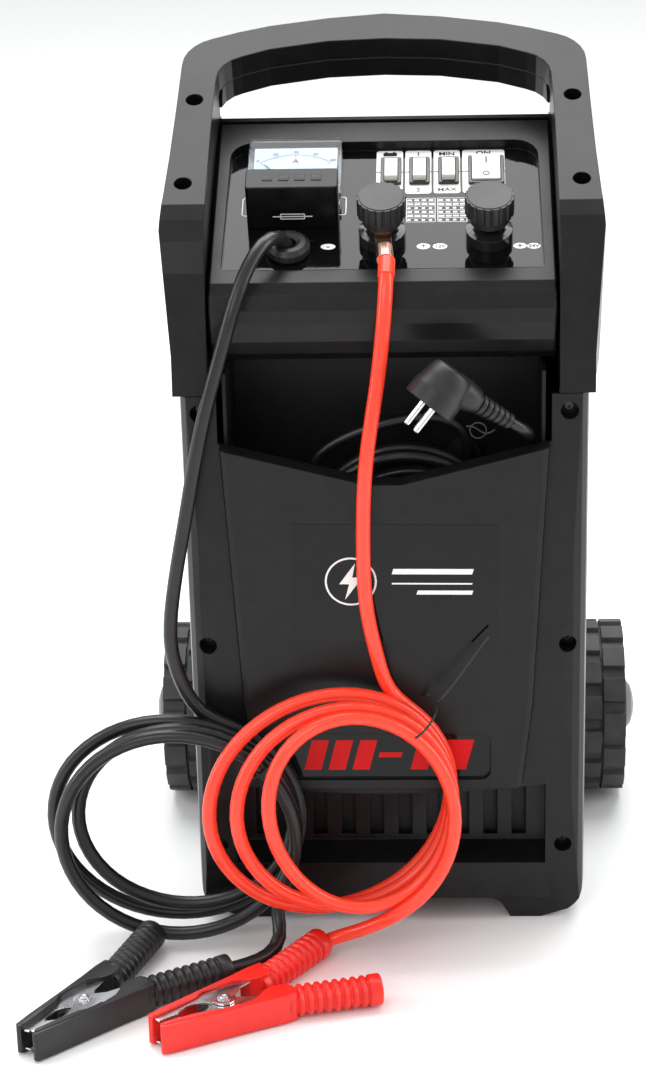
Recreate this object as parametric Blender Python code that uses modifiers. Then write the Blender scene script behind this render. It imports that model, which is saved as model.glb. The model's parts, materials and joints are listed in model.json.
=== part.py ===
"""Trolley battery charger: moulded housing on two wheels, control console, charging leads with clamps.

Metres, +Z up, the front faces -Y. Shapes are written with y measured back from the front face of the
housing, and the empty called charger moves them so that the origin is the middle of the footprint.
"""

import math

import bmesh
import bpy
from mathutils import Euler, Matrix, Vector

# Driving dimensions
AXLE = (0.227, 0.067)
WHEEL_RADIUS = 0.067
FRONT_PROUD = 0.0075
FRONT_TO_CENTRE = (FRONT_PROUD - AXLE[0] - WHEEL_RADIUS) / 2
GAP = 0.0003
WALL = 0.003
BODY_HALF_WIDTH = 0.1385
SEAM_Z = 0.402
SPLIT_Y = 0.105
TOP_SLOPE = math.radians(26.3)
TOP_ORIGIN = (0.059, 0.536)
BAR_DEPTH = 0.033
PANEL_SLOPE = math.radians(22.4)
PANEL_ORIGIN = (0.031, 0.482)
CONSOLE_HALF_WIDTH = 0.1165
PANEL_HALF_WIDTH = 0.1075
PANEL_LENGTH = 0.134
RAIL_X = 0.113
WHEEL_INNER_X = 0.1425
WHEEL_OUTER_X = 0.178
HUB_CAP_X = 0.186
SCREW_HOLE_RADIUS = 0.0062
GLAND_X = 0.054
GLAND_Z = 0.330
LEAD_DIAMETER = 0.010
MAINS_DIAMETER = 0.008

parts = bpy.data.collections.new("battery_charger")
cutters = bpy.data.collections.new("cutters")


# ---------------------------------------------------------------- helpers


def clear_scene():
    for obj in list(bpy.data.objects):
        bpy.data.objects.remove(obj, do_unlink=True)
    bpy.context.scene.collection.children.link(parts)
    bpy.context.scene.collection.children.link(cutters)


def material(name, colour, roughness, metallic=0.0):
    """A plain Principled material, made once for each name."""
    if name in bpy.data.materials:
        return bpy.data.materials[name]
    made = bpy.data.materials.new(name)
    made.use_nodes = True
    shader = made.node_tree.nodes["Principled BSDF"]
    shader.inputs["Base Color"].default_value = (*colour, 1.0)
    shader.inputs["Roughness"].default_value = roughness
    shader.inputs["Metallic"].default_value = metallic
    made.diffuse_color = (*colour, 1.0)
    return made


def black_plastic():
    return material("black_plastic", (0.03, 0.03, 0.032), 0.42)


def glossy_black():
    return material("glossy_black", (0.012, 0.012, 0.013), 0.15)


def red_plastic():
    return material("red_plastic", (0.8, 0.05, 0.02), 0.4)


def steel():
    return material("steel", (0.62, 0.62, 0.64), 0.3, 1.0)


def empty(name, location, rotation=(0, 0, 0), parent=None):
    made = bpy.data.objects.new(name, None)
    made.location = location
    made.rotation_euler = rotation
    made.parent = parent
    parts.objects.link(made)
    return made


def place(obj, location=(0, 0, 0), rotation=(0, 0, 0), parent=None):
    obj.location = location
    obj.rotation_euler = rotation
    obj.parent = parent
    return obj


def as_object(name, mesh, collection=parts):
    obj = bpy.data.objects.new(name, mesh)
    collection.objects.link(obj)
    return obj


def finish(obj, look, angle=35):
    """Gives a part its material and shades it smooth up to the angle."""
    obj.data.materials.clear()
    obj.data.materials.append(look)
    obj.data.shade_smooth()
    obj.data.set_sharp_from_angle(angle=math.radians(angle))
    return obj


def box(name, low, high):
    """A box between two corners, in its parent's frame."""
    bm = bmesh.new()
    bmesh.ops.create_cube(bm, size=1.0)
    size = [h - l for l, h in zip(low, high)]
    middle = [(h + l) / 2 for l, h in zip(low, high)]
    bmesh.ops.scale(bm, vec=size, verts=bm.verts)
    bmesh.ops.translate(bm, vec=middle, verts=bm.verts)
    return from_bmesh(name, bm)


def rod(name, radius, start, end, sides=24, end_radius=None):
    """A cylinder or cone between two points."""
    start, end = Vector(start), Vector(end)
    along = end - start
    bm = bmesh.new()
    bmesh.ops.create_cone(
        bm,
        cap_ends=True,
        segments=sides,
        radius1=radius,
        radius2=radius if end_radius is None else end_radius,
        depth=along.length,
    )
    turn = along.to_track_quat("Z", "Y").to_matrix().to_4x4()
    bmesh.ops.transform(bm, matrix=Matrix.Translation((start + end) / 2) @ turn, verts=bm.verts)
    return from_bmesh(name, bm)


def from_bmesh(name, bm):
    mesh = bpy.data.meshes.new(name)
    bmesh.ops.recalc_face_normals(bm, faces=bm.faces)
    bm.to_mesh(mesh)
    bm.free()
    return as_object(name, mesh)


def curve_mesh(name, curve):
    """The mesh that a curve makes, its caps welded on."""
    guide = bpy.data.objects.new(name + "_outline", curve)
    parts.objects.link(guide)
    bpy.context.view_layer.update()
    graph = bpy.context.evaluated_depsgraph_get()
    mesh = bpy.data.meshes.new_from_object(guide.evaluated_get(graph))
    bpy.data.objects.remove(guide, do_unlink=True)
    bm = bmesh.new()
    bm.from_mesh(mesh)
    bmesh.ops.remove_doubles(bm, verts=bm.verts, dist=1e-6)
    bmesh.ops.recalc_face_normals(bm, faces=bm.faces)
    bm.to_mesh(mesh)
    bm.free()
    mesh.name = name
    return mesh


def plate(name, outline, low, high):
    """A flat outline in local XY, extruded from local Z low to high."""
    curve = bpy.data.curves.new(name, "CURVE")
    curve.dimensions = "2D"
    curve.fill_mode = "BOTH"
    curve.extrude = (high - low) / 2
    spline = curve.splines.new("POLY")
    spline.points.add(len(outline) - 1)
    for point, (x, y) in zip(spline.points, outline):
        point.co = (x, y, 0, 1)
    spline.use_cyclic_u = True
    mesh = curve_mesh(name, curve)
    mesh.transform(Matrix.Translation((0, 0, (high + low) / 2)))
    return as_object(name, mesh)


def side_plate(name, outline, half_width, centre=0.0):
    """An outline given as (y, z), extruded along X."""
    made = plate(name, outline, centre - half_width, centre + half_width)
    made.data.transform(Matrix(((0, 0, 1, 0), (1, 0, 0, 0), (0, 1, 0, 0), (0, 0, 0, 1))))
    return made


def front_plate(name, outline, y_low, y_high):
    """An outline given as (x, z), extruded along Y."""
    made = plate(name, outline, -y_high, -y_low)
    made.data.transform(Matrix(((1, 0, 0, 0), (0, 0, -1, 0), (0, 1, 0, 0), (0, 0, 0, 1))))
    return made


def turned(name, profile, steps=32):
    """A profile of (radius, height) points, from the top down its outer side, turned about local Z."""
    mesh = bpy.data.meshes.new(name)
    points = [(r, 0, z) for r, z in profile]
    mesh.from_pydata(points, [(i, i + 1) for i in range(len(points) - 1)], [])
    made = as_object(name, mesh)
    screw = made.modifiers.new("Turn", "SCREW")
    screw.steps = steps
    screw.render_steps = steps
    screw.use_merge_vertices = True
    screw.merge_threshold = 0.00001
    return baked(made)


def baked(obj):
    """Applies an object's modifiers, so that it can be joined or placed again."""
    bpy.context.view_layer.update()
    graph = bpy.context.evaluated_depsgraph_get()
    mesh = bpy.data.meshes.new_from_object(obj.evaluated_get(graph))
    mesh.name = obj.name
    obj.modifiers.clear()
    obj.data = mesh
    return obj


def smooth_path(points, spacing):
    """Points at an even spacing on the Catmull-Rom curve through the given ones."""
    knots = [Vector(p) for p in points]
    knots = [2 * knots[0] - knots[1], *knots, 2 * knots[-1] - knots[-2]]
    fine = []
    for a, b, c, d in zip(knots, knots[1:], knots[2:], knots[3:]):
        for step in range(12):
            t = step / 12
            fine.append(
                0.5 * (2 * b + (c - a) * t + (2 * a - 5 * b + 4 * c - d) * t**2
                       + (3 * b - a - 3 * c + d) * t**3)
            )
    fine.append(knots[-2])
    length = sum((q - p).length for p, q in zip(fine, fine[1:]))
    count = max(2, round(length / spacing))
    path, walked, target = [fine[0]], 0.0, length / count
    for p, q in zip(fine, fine[1:]):
        step = (q - p).length
        while walked + step >= target - 1e-9 and len(path) < count:
            path.append(p.lerp(q, (target - walked) / step))
            target += length / count
        walked += step
    return [*path, fine[-1]]


def tube(name, points, diameter, resolution=2, spacing=2.5, parent=None):
    """A cord along the smooth curve through the points."""
    curve = bpy.data.curves.new(name, "CURVE")
    curve.dimensions = "3D"
    curve.bevel_depth = diameter / 2
    curve.bevel_resolution = resolution
    curve.use_fill_caps = True
    path = smooth_path(points, spacing * diameter)
    spline = curve.splines.new("POLY")
    spline.points.add(len(path) - 1)
    for point, place_at in zip(spline.points, path):
        point.co = (*place_at, 1)
    made = as_object(name, curve_mesh(name, curve))
    made.parent = parent
    return made


def is_closed(mesh):
    bm = bmesh.new()
    bm.from_mesh(mesh)
    closed = all(len(edge.link_faces) == 2 for edge in bm.edges)
    bm.free()
    return closed


def boolean(obj, other, operation):
    """Joins, cuts or intersects at once, with the second solver where the first leaves an open edge."""
    start = obj.data
    for solver in ("EXACT", "MANIFOLD"):
        obj.data = start
        modifier = obj.modifiers.new(operation.title(), "BOOLEAN")
        modifier.operation = operation
        modifier.solver = solver
        modifier.object = other
        baked(obj)
        if is_closed(obj.data) and obj.data.polygons:
            break
    bpy.data.objects.remove(other, do_unlink=True)
    return obj


def cut(obj, *others):
    for other in others:
        boolean(obj, other, "DIFFERENCE")
    return obj


def join(obj, *others):
    for other in others:
        boolean(obj, other, "UNION")
    return obj


def keep(obj, other):
    return boolean(obj, other, "INTERSECT")


def rounded(obj, width, segments=2, angle=35):
    """Rounds the edges that are sharper than the angle."""
    bevel = obj.modifiers.new("Round", "BEVEL")
    bevel.width = width
    bevel.segments = segments
    bevel.limit_method = "ANGLE"
    bevel.angle_limit = math.radians(angle)
    bevel.use_clamp_overlap = True
    return baked(obj)


def arc(centre, radius, start, end, steps=6):
    """Points on an arc, angles in degrees."""
    turn = [math.radians(start + (end - start) * i / steps) for i in range(steps + 1)]
    return [(centre[0] + radius * math.cos(a), centre[1] + radius * math.sin(a)) for a in turn]


def rounded_rectangle(x0, y0, x1, y1, radius, steps=4):
    return [
        *arc((x1 - radius, y0 + radius), radius, -90, 0, steps),
        *arc((x1 - radius, y1 - radius), radius, 0, 90, steps),
        *arc((x0 + radius, y1 - radius), radius, 90, 180, steps),
        *arc((x0 + radius, y0 + radius), radius, 180, 270, steps),
    ]


def mirrored(half):
    """A closed outline from its right half, listed from bottom to top."""
    left = [(-x, y) for x, y in reversed(half) if x > 0]
    return [*half, *left]


def inset(outline, distance):
    """Moves each edge of a closed anticlockwise outline inwards (outwards if negative)."""
    result = []
    count = len(outline)
    for i in range(count):
        before, here, after = (Vector(outline[(i + k) % count]) for k in (-1, 0, 1))
        along_in, along_out = (here - before).normalized(), (after - here).normalized()
        normal_in = Vector((-along_in.y, along_in.x))
        normal_out = Vector((-along_out.y, along_out.x))
        middle = (normal_in + normal_out).normalized()
        result.append(tuple(here + middle * (distance / max(0.35, middle.dot(normal_in)))))
    return result


# ---------------------------------------------------------------- places


def slope_point(along, out):
    """(y, z) of a place up the slope of the top face, and out from it."""
    sine, cosine = math.sin(TOP_SLOPE), math.cos(TOP_SLOPE)
    return (TOP_ORIGIN[0] + along * cosine - out * sine, TOP_ORIGIN[1] + along * sine + out * cosine)


def panel_point(along, out):
    """(y, z) of a place up the console's panel, and out from it."""
    sine, cosine = math.sin(PANEL_SLOPE), math.cos(PANEL_SLOPE)
    return (PANEL_ORIGIN[0] + along * cosine - out * sine, PANEL_ORIGIN[1] + along * sine + out * cosine)


CHEEK_CURVE = [
    (0.006, SEAM_Z + GAP),
    (0.009, 0.430),
    (0.013, 0.460),
    (0.0175, 0.485),
    (0.0235, 0.505),
    (0.0315, 0.518),
    (0.0405, 0.5265),
]
NOSE_CURVE = [
    (0.0300, 0.4205),
    (0.0220, 0.4270),
    (0.0165, 0.4370),
    (0.0130, 0.4500),
    (0.0125, 0.4600),
    (0.0150, 0.4700),
    (0.0210, 0.4770),
]
RAIL_CURVE = [
    (0.0100, 0.000),
    (0.0060, 0.040),
    (0.0028, 0.100),
    (0.0015, 0.200),
    (0.0028, 0.300),
    (0.0060, SEAM_Z),
]
BACK_CURVE = [(0.236, 0.006), (0.238, 0.050), (0.234, 0.300), (0.2255, SEAM_Z - GAP)]
HAND_HOLE_START = 0.1115
RIM_OUT = -0.0365
SCREWS_FRONT = [(0.125, 0.390), (0.125, 0.220), (0.123, 0.062)]
SCREWS_TOP = [(0.134, 0.000), (0.131, 0.088)]


# ---------------------------------------------------------------- handle frame


def frame_profile(bottom):
    """Side view of the handle frame, front and rear shells together."""
    return [
        (CHEEK_CURVE[0][0], bottom),
        (0.2255, bottom),
        (0.207, 0.480),
        slope_point(0.118, -BAR_DEPTH),
        slope_point(0.200, -BAR_DEPTH),
        slope_point(0.200, 0),
        slope_point(0, 0),
        *reversed(CHEEK_CURVE[1:]),
    ]


def frame_outline():
    """The frame seen square to its top face."""
    return mirrored([
        (0.1425, -0.250),
        (0.1425, -0.092),
        (0.1455, -0.066),
        (0.1488, -0.038),
        (0.1468, -0.012),
        (0.1448, 0.030),
        (0.1432, 0.080),
        *arc((0.112, 0.1275), 0.030, 0, 70, 5),
        (0.103, 0.1630),
        (0.081, 0.1696),
        (0.040, 0.1774),
        (0.000, 0.1818),
    ])


def opening_outline(bottom):
    """The opening inside the frame, over the console and through the hand hole."""
    half = [
        (0.1180, 0.066),
        *arc((0.092, 0.1110), 0.025, 0, 70, 4),
        (0.081, 0.1425),
        (0.040, 0.1507),
        (0.000, 0.1528),
    ]
    above = [(x, along) for x, along in half if along > bottom + 0.002]
    return mirrored([(0.1185 if bottom < 0 else 0.1170, bottom), *above])


def on_slope(obj):
    """Moves a shape made flat at the origin onto the top face."""
    obj.data.transform(Matrix.Translation((0, *TOP_ORIGIN)) @ Matrix.Rotation(TOP_SLOPE, 4, "X"))
    return obj


def on_panel(obj):
    """Moves a shape made flat at the origin onto the console's panel."""
    obj.data.transform(Matrix.Translation((0, *PANEL_ORIGIN)) @ Matrix.Rotation(PANEL_SLOPE, 4, "X"))
    return obj


def frame_solid(name, opening_bottom, shrink):
    """The frame as a solid, or its hollow when shrunk by the wall."""
    bottom = SEAM_Z + GAP if shrink == 0 else SEAM_Z - 0.02
    solid = side_plate(name, inset(frame_profile(bottom), shrink), 0.17)
    keep(solid, on_slope(plate("outline", inset(frame_outline(), shrink), -0.4, 0.1)))
    hole = plate("opening", inset(opening_outline(opening_bottom), -shrink), -0.4, 0.1)
    return cut(solid, on_slope(hole))


def in_front_of_split(name, shift):
    """The space in front of the line where the two halves of the frame meet."""
    return side_plate(
        name,
        [
            (-0.1, 0.36),
            (SPLIT_Y - shift, 0.36),
            slope_point(0.0333, RIM_OUT + shift),
            slope_point(HAND_HOLE_START, RIM_OUT + shift),
            slope_point(HAND_HOLE_START, -0.017 + shift),
            slope_point(0.300, -0.017 + shift),
            slope_point(0.300, 0.1),
            (-0.1, 0.75),
        ],
        0.2,
    )


def handle_front_shell():
    shell = frame_solid("handle_front_shell", -0.3, 0)
    rounded(shell, 0.004, 2, 40)
    cut(shell, frame_solid("hollow", -0.3, WALL))
    keep(shell, in_front_of_split("front_space", GAP / 2))
    for side in (-1, 1):
        for x, along in SCREWS_TOP:
            y, z = slope_point(along, 0)
            low = slope_point(along, -0.0165)
            boss = rod("boss", SCREW_HOLE_RADIUS + 0.0018, (side * x, *slope_point(along, -0.002)),
                       (side * x, *low), 16)
            join(shell, boss)
            deep = slope_point(along, -0.013)
            cut(shell, rod("hole", SCREW_HOLE_RADIUS, (side * x, *slope_point(along, 0.02)),
                           (side * x, *deep), 16))
    return finish(shell, black_plastic())


def handle_rear_shell():
    shell = frame_solid("handle_rear_shell", HAND_HOLE_START, 0)
    rounded(shell, 0.004, 2, 40)
    cut(shell, frame_solid("hollow", HAND_HOLE_START, WALL))
    cut(shell, in_front_of_split("front_space", -GAP / 2))
    above_console = [(0.150, 0.5527), (0.183, 0.5527), (0.176, 0.574), (0.150, 0.574)]
    cut(shell, side_plate("above_console", above_console, 0.1169))
    return finish(shell, black_plastic())


# ---------------------------------------------------------------- lower housing


def housing_plan(front, back, radius_front, radius_back, shrink=0.0):
    """The housing seen from above, rounded at the front or at the back."""
    half = BODY_HALF_WIDTH - shrink
    return rounded_ends(half, front + shrink, back - shrink, radius_front - shrink, radius_back - shrink)


def rounded_ends(half, front, back, radius_front, radius_back):
    radius_front, radius_back = max(radius_front, 0.0005), max(radius_back, 0.0005)
    return [
        *arc((-half + radius_front, front + radius_front), radius_front, 180, 270, 4),
        *arc((half - radius_front, front + radius_front), radius_front, 270, 360, 4),
        *arc((half - radius_back, back - radius_back), radius_back, 0, 90, 4),
        *arc((-half + radius_back, back - radius_back), radius_back, 90, 180, 4),
    ]


def bowed_sides():
    """Front view of the housing: rounded bottom corners and the arch between its two feet."""
    return mirrored([
        (0.000, 0.0165),
        (0.072, 0.0165),
        (0.079, 0.0125),
        (0.086, 0.0000),
        (0.108, 0.0000),
        *arc((BODY_HALF_WIDTH - 0.026, 0.028), 0.026, -55, 0, 4),
        (BODY_HALF_WIDTH, SEAM_Z + 0.01),
        (0.000, SEAM_Z + 0.01),
    ])


POCKET_RIM = [(0.0, 0.3425), (0.012, 0.3425), (0.113, 0.3685)]


def front_panel():
    """The tapered panel that stands proud of the rails, its top edge the pocket's rim."""
    outline = mirrored([
        (0.000, 0.1130),
        (0.094, 0.1130),
        (0.1015, 0.1780),
        (0.1125, 0.3850),
        (0.0000, 0.3850),
    ])
    return rounded(front_plate("panel", outline, -FRONT_PROUD, 0.0080), 0.0045, 2, 50)


def vent_recess(name, back):
    """The sunk vent: a floor that slopes up to the back and a top edge that sags in the middle."""
    side = side_plate(name, [(-0.03, 0.034), (back, 0.055), (back, 0.125), (-0.03, 0.125)], 0.1105)
    sag = [(x * 0.1105, 0.111 - 0.0075 * (1 - x * x)) for x in (1, 0.75, 0.5, 0.25, 0, -0.25, -0.5, -0.75, -1)]
    return keep(side, front_plate("sag", [(-0.1105, 0.02), (0.1105, 0.02), *sag], -0.1, 0.2))


def front_cover():
    cover = plate("front_cover", housing_plan(0.0015, SPLIT_Y - GAP / 2, 0.016, 0.0), 0.0, SEAM_Z)
    side = [*RAIL_CURVE, (SPLIT_Y + 0.01, SEAM_Z), (SPLIT_Y + 0.01, 0)]
    keep(cover, side_plate("side", list(reversed(side)), 0.2))
    keep(cover, front_plate("corners", bowed_sides(), -0.1, 0.2))
    rounded(cover, 0.002, 1, 50)
    inside = plate("hollow", housing_plan(0.0060, SPLIT_Y + 0.02, 0.014, 0.0, WALL), 0.0195, SEAM_Z + 0.02)
    cut(cover, inside)
    join(cover, front_panel(), box("vent_back", (-0.1135, 0.0045, 0.0185), (0.1135, 0.0290, 0.1160)))
    rim = [*POCKET_RIM, (RAIL_X, SEAM_Z + 0.02), (0.0, SEAM_Z + 0.02)]
    cut(cover, front_plate("pocket_mouth", mirrored(rim), -0.03, 0.02))
    cut(cover, vent_recess("vent", 0.0260))
    for i in range(10):
        middle = (i - 4.5) * 0.0205
        slot = box("slot", (middle - 0.0050, 0.0200, 0.0590), (middle + 0.0050, 0.0400, 0.0990))
        cut(cover, slot)
    label = rounded_rectangle(-0.0715, 0.1200, 0.0715, 0.1560, 0.007)
    cut(cover, front_plate("label_recess", label, -0.03, -0.0045))
    for side in (-1, 1):
        for x, z in SCREWS_FRONT:
            join(cover, rod("boss", SCREW_HOLE_RADIUS + 0.0018, (side * x, 0.0065, z), (side * x, 0.022, z), 16))
            cut(cover, rod("hole", SCREW_HOLE_RADIUS, (side * x, -0.02, z), (side * x, 0.018, z), 16))
    return finish(cover, black_plastic())


def rear_cover():
    cover = plate("rear_cover", housing_plan(SPLIT_Y + GAP / 2, 0.240, 0.0, 0.014), 0.0165, SEAM_Z)
    side = [(0.05, 0.0), *BACK_CURVE, (0.05, SEAM_Z - GAP)]
    keep(cover, side_plate("side", side, 0.2))
    keep(cover, front_plate("corners", bowed_sides(), -0.1, 0.3))
    rounded(cover, 0.002, 1, 50)
    inside = plate("hollow", housing_plan(0.05, 0.2400, 0.0, 0.014, WALL), 0.0190, SEAM_Z + 0.02)
    keep(inside, side_plate("side", [(0.04, 0.0), *((y - WALL, z) for y, z in BACK_CURVE),
                                     (BACK_CURVE[-1][0] - WALL, 0.5), (0.04, 0.5)], 0.2))
    cut(cover, inside)
    for row in range(7):
        z = 0.225 + row * 0.0160
        for side in (-1, 1):
            ends = sorted((side * 0.014, side * 0.098))
            cut(cover, box("vent", (ends[0], 0.215, z), (ends[1], 0.26, z + 0.0070)))
    cut(cover, rod("axle_hole", 0.0056, (-0.2, *AXLE), (0.2, *AXLE), 16))
    return finish(cover, black_plastic())


def pocket_liner():
    liner = box("pocket_liner", (-0.1090, 0.0095, 0.2000), (0.1090, 0.0920, 0.4170))
    cut(liner, box("inside", (-0.1065, -0.01, 0.2025), (0.1065, 0.0895, 0.43)))
    cut(liner, rod("gland_hole", 0.0085, (GLAND_X, 0.05, GLAND_Z), (GLAND_X, 0.12, GLAND_Z), 20))
    return finish(liner, black_plastic())


def base_plate():
    base = box("base_plate", (-0.1290, 0.0305, 0.0198), (0.1290, 0.2300, 0.0218))
    for side in (-1, 1):
        ear = box("ear", (side * 0.1200 - 0.0015, 0.2080, 0.0210), (side * 0.1200 + 0.0015, 0.2325, 0.0850))
        join(base, ear)
    cut(base, rod("axle_hole", 0.0053, (-0.2, *AXLE), (0.2, *AXLE), 20))
    return finish(base, steel())


# ---------------------------------------------------------------- console

METER_BOX = (-0.0940, 0.0690, -0.0290, 0.1325)
METER_FACE = 0.0120
FUSE_BOX = (-0.0925, 0.0460, -0.0300, 0.0675)
FUSE_HEIGHT = 0.0350
SWITCH_ALONG = 0.1078
SMALL_SWITCHES = {"charge": 0.0050, "stage": 0.0248, "range": 0.0450}
SMALL_SWITCH = (0.0144, 0.0298)
POWER_SWITCH_X = 0.0712
POWER_SWITCH = (0.0250, 0.0316)
TERMINALS = {"12v": -0.0003, "24v": 0.0721}
TERMINAL_ALONG = 0.0330
TERMINAL_RADIUS = 0.0160
GROMMET = (-0.0636, 0.0206)
GROMMET_RADIUS = 0.0150


def console_profile():
    return [
        *NOSE_CURVE[:1],
        (0.0985, 0.4205),
        (0.1500, 0.5050),
        panel_point(0.1565, -0.0180),
        panel_point(0.1565, 0.0090),
        PANEL_ORIGIN,
        *reversed(NOSE_CURVE[1:]),
    ]


def console_hollow():
    return [
        (0.0345, 0.4235),
        (0.1300, 0.4235),
        (0.1900, 0.5000),
        panel_point(0.1535, -0.0200),
        panel_point(0.1535, -0.0030),
        panel_point(0.0030, -0.0030),
        (0.0180, 0.4680),
        (0.0157, 0.4600),
        (0.0160, 0.4510),
        (0.0192, 0.4390),
        (0.0240, 0.4300),
    ]


def control_console():
    console = rounded(side_plate("control_console", console_profile(), CONSOLE_HALF_WIDTH), 0.0015, 1, 50)
    cut(console, side_plate("hollow", console_hollow(), CONSOLE_HALF_WIDTH - WALL))
    recess = [
        (-PANEL_HALF_WIDTH - 0.0015, -0.04),
        (PANEL_HALF_WIDTH + 0.0015, -0.04),
        *arc((PANEL_HALF_WIDTH - 0.016, PANEL_LENGTH - 0.016), 0.016, 0, 90, 5),
        *arc((-PANEL_HALF_WIDTH + 0.016, PANEL_LENGTH - 0.016), 0.016, 90, 180, 5),
    ]
    cut(console, on_panel(plate("recess", recess, 0.0, 0.05)))
    x0, y0, x1, y1 = METER_BOX
    openings = [plate("meter_hole", rounded_rectangle(x0 + 0.007, y0 + 0.009, x1 - 0.007, y1 - 0.009, 0.004), -0.02, 0.02)]
    for x in SMALL_SWITCHES.values():
        openings.append(switch_hole(x, SMALL_SWITCH))
    openings.append(switch_hole(POWER_SWITCH_X, POWER_SWITCH))
    openings.append(plate("lead_hole", arc(GROMMET, 0.0105, 0, 360, 20)[:-1], -0.02, 0.02))
    for x in TERMINALS.values():
        openings.append(plate("post_hole", arc((x, TERMINAL_ALONG), 0.0053, 0, 360, 16)[:-1], -0.02, 0.02))
    cut(console, *(on_panel(opening) for opening in openings))
    return finish(console, black_plastic())


def switch_hole(x, size):
    half_x, half_y = size[0] / 2 - 0.0012, size[1] / 2 - 0.0012
    outline = rounded_rectangle(x - half_x, SWITCH_ALONG - half_y, x + half_x, SWITCH_ALONG + half_y, 0.0008, 1)
    return plate("switch_hole", outline, -0.02, 0.02)


def ammeter():
    """Case with a dial plate under a clear cover, and the needle's axis below the dial's middle."""
    x0, y0, x1, y1 = METER_BOX
    inner = (x0 + 0.0075, y0 + 0.0095, x1 - 0.0075, y1 - 0.0095)
    case = plate("ammeter_case", rounded_rectangle(*inner, 0.0035), -0.0260, -0.0003)
    join(case, plate("flange", rounded_rectangle(x0 + 0.0008, y0 + 0.0008, x1 - 0.0008, y1 - 0.0008, 0.002), 0.0003, 0.0022),
         plate("neck", rounded_rectangle(inner[0] + 0.001, inner[1] + 0.001, inner[2] - 0.001, inner[3] - 0.001, 0.003), -0.0020, 0.0010))
    dial = plate("ammeter_dial", rounded_rectangle(x0 + 0.0035, y0 + 0.0190, x1 - 0.0035, y1 - 0.0045, 0.0010), 0.0060, 0.0068)
    for x in (x0 + 0.0100, x1 - 0.0100):
        join(case, rod("pillar", 0.0020, (x, y0 + 0.0400, 0.0015), (x, y0 + 0.0400, 0.0057), 12))
    join(case, rod("needle_post", 0.0012, (*NEEDLE_PIVOT, 0.0015), (*NEEDLE_PIVOT, 0.0070), 12))
    cover = rounded(plate("ammeter_cover", rounded_rectangle(x0, y0, x1, y1, 0.0020), 0.0025, METER_FACE), 0.0012, 1, 50)
    cut(cover, plate("inside", rounded_rectangle(x0 + 0.0012, y0 + 0.0012, x1 - 0.0012, y1 - 0.0012, 0.0015), 0.0, METER_FACE - 0.0012))
    return [
        finish(case, glossy_black()),
        finish(dial, material("dial_white", (0.75, 0.8, 0.85), 0.5)),
        finish(cover, material("clear_cover", (0.8, 0.85, 0.9), 0.08)),
    ]


NEEDLE_PIVOT = (-0.0615, 0.0830)
NEEDLE_REST = 41.0


def ammeter_needle(panel):
    """Points left of the dial's middle at rest; the origin is on the pivot."""
    needle = rod("ammeter_needle", 0.0022, (0, 0, 0.0073), (0, 0, 0.0081), 16)
    join(needle, box("pointer", (-0.0004, -0.0060, 0.0074), (0.0004, 0.0330, 0.0080)))
    place(needle, (*NEEDLE_PIVOT, 0), (0, 0, math.radians(NEEDLE_REST)), panel)
    return finish(needle, material("needle_red", (0.7, 0.03, 0.02), 0.4))


def fuse_parts():
    x0, y0, x1, y1 = FUSE_BOX
    cover = plate("fuse_cover", rounded_rectangle(x0, y0, x1, y1, 0.0020, 2), GAP, FUSE_HEIGHT)
    rounded(cover, 0.0012, 1, 50)
    cut(cover, plate("inside", rounded_rectangle(x0 + 0.0016, y0 + 0.0016, x1 - 0.0016, y1 - 0.0016, 0.001, 1), -0.01, FUSE_HEIGHT - 0.0018))
    block = box("fuse_block", (x0 + 0.0030, y0 + 0.0030, GAP), (x1 - 0.0030, y1 - 0.0030, 0.0120))
    for i in range(4):
        x = x0 + 0.0100 + i * (x1 - x0 - 0.0200) / 3
        join(block, box("strip", (x - 0.0045, y0 + 0.0040, 0.0110), (x + 0.0045, y1 - 0.0040, 0.0135)))
        join(block, rod("nut", 0.0028, (x, y0 + 0.0075, 0.0130), (x, y0 + 0.0075, 0.0165), 6))
        join(block, rod("nut", 0.0028, (x, y1 - 0.0075, 0.0130), (x, y1 - 0.0075, 0.0165), 6))
    return [finish(cover, black_plastic()), finish(block, material("fuse_metal", (0.7, 0.68, 0.6), 0.4, 0.6))]


def switch(name, x, size, panel, tilt):
    """A switch body with a raised bezel, and its rocker tilting about an axis along X."""
    half_x, half_y = size[0] / 2, size[1] / 2
    well_x, well_y = half_x - 0.0022, half_y - 0.0025
    body = plate("switch_body_" + name, rounded_rectangle(x - half_x, SWITCH_ALONG - half_y, x + half_x, SWITCH_ALONG + half_y, 0.0012, 2), GAP, 0.0026)
    rounded(body, 0.0005, 1, 50)
    join(body, box("shank", (x - half_x + 0.0016, SWITCH_ALONG - half_y + 0.0016, -0.0190),
                   (x + half_x - 0.0016, SWITCH_ALONG + half_y - 0.0016, 0.0010)))
    cut(body, box("well", (x - well_x, SWITCH_ALONG - well_y, -0.0080), (x + well_x, SWITCH_ALONG + well_y, 0.01)))
    reach = well_y - 0.0006
    outline = [(-reach, -0.0032), (0.0, -0.0042), (reach, -0.0032), (reach, 0.0030), (0.0, 0.0018), (-reach, 0.0030)]
    rocker = rounded(side_plate("rocker_" + name, outline, well_x - 0.0004), 0.0004, 1, 50)
    place(rocker, (x, SWITCH_ALONG, 0.0022), (math.radians(tilt), 0, 0), panel)
    body.parent = panel
    return [finish(body, glossy_black()), finish(rocker, material("rocker_cream", (0.75, 0.73, 0.66), 0.35))]


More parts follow.
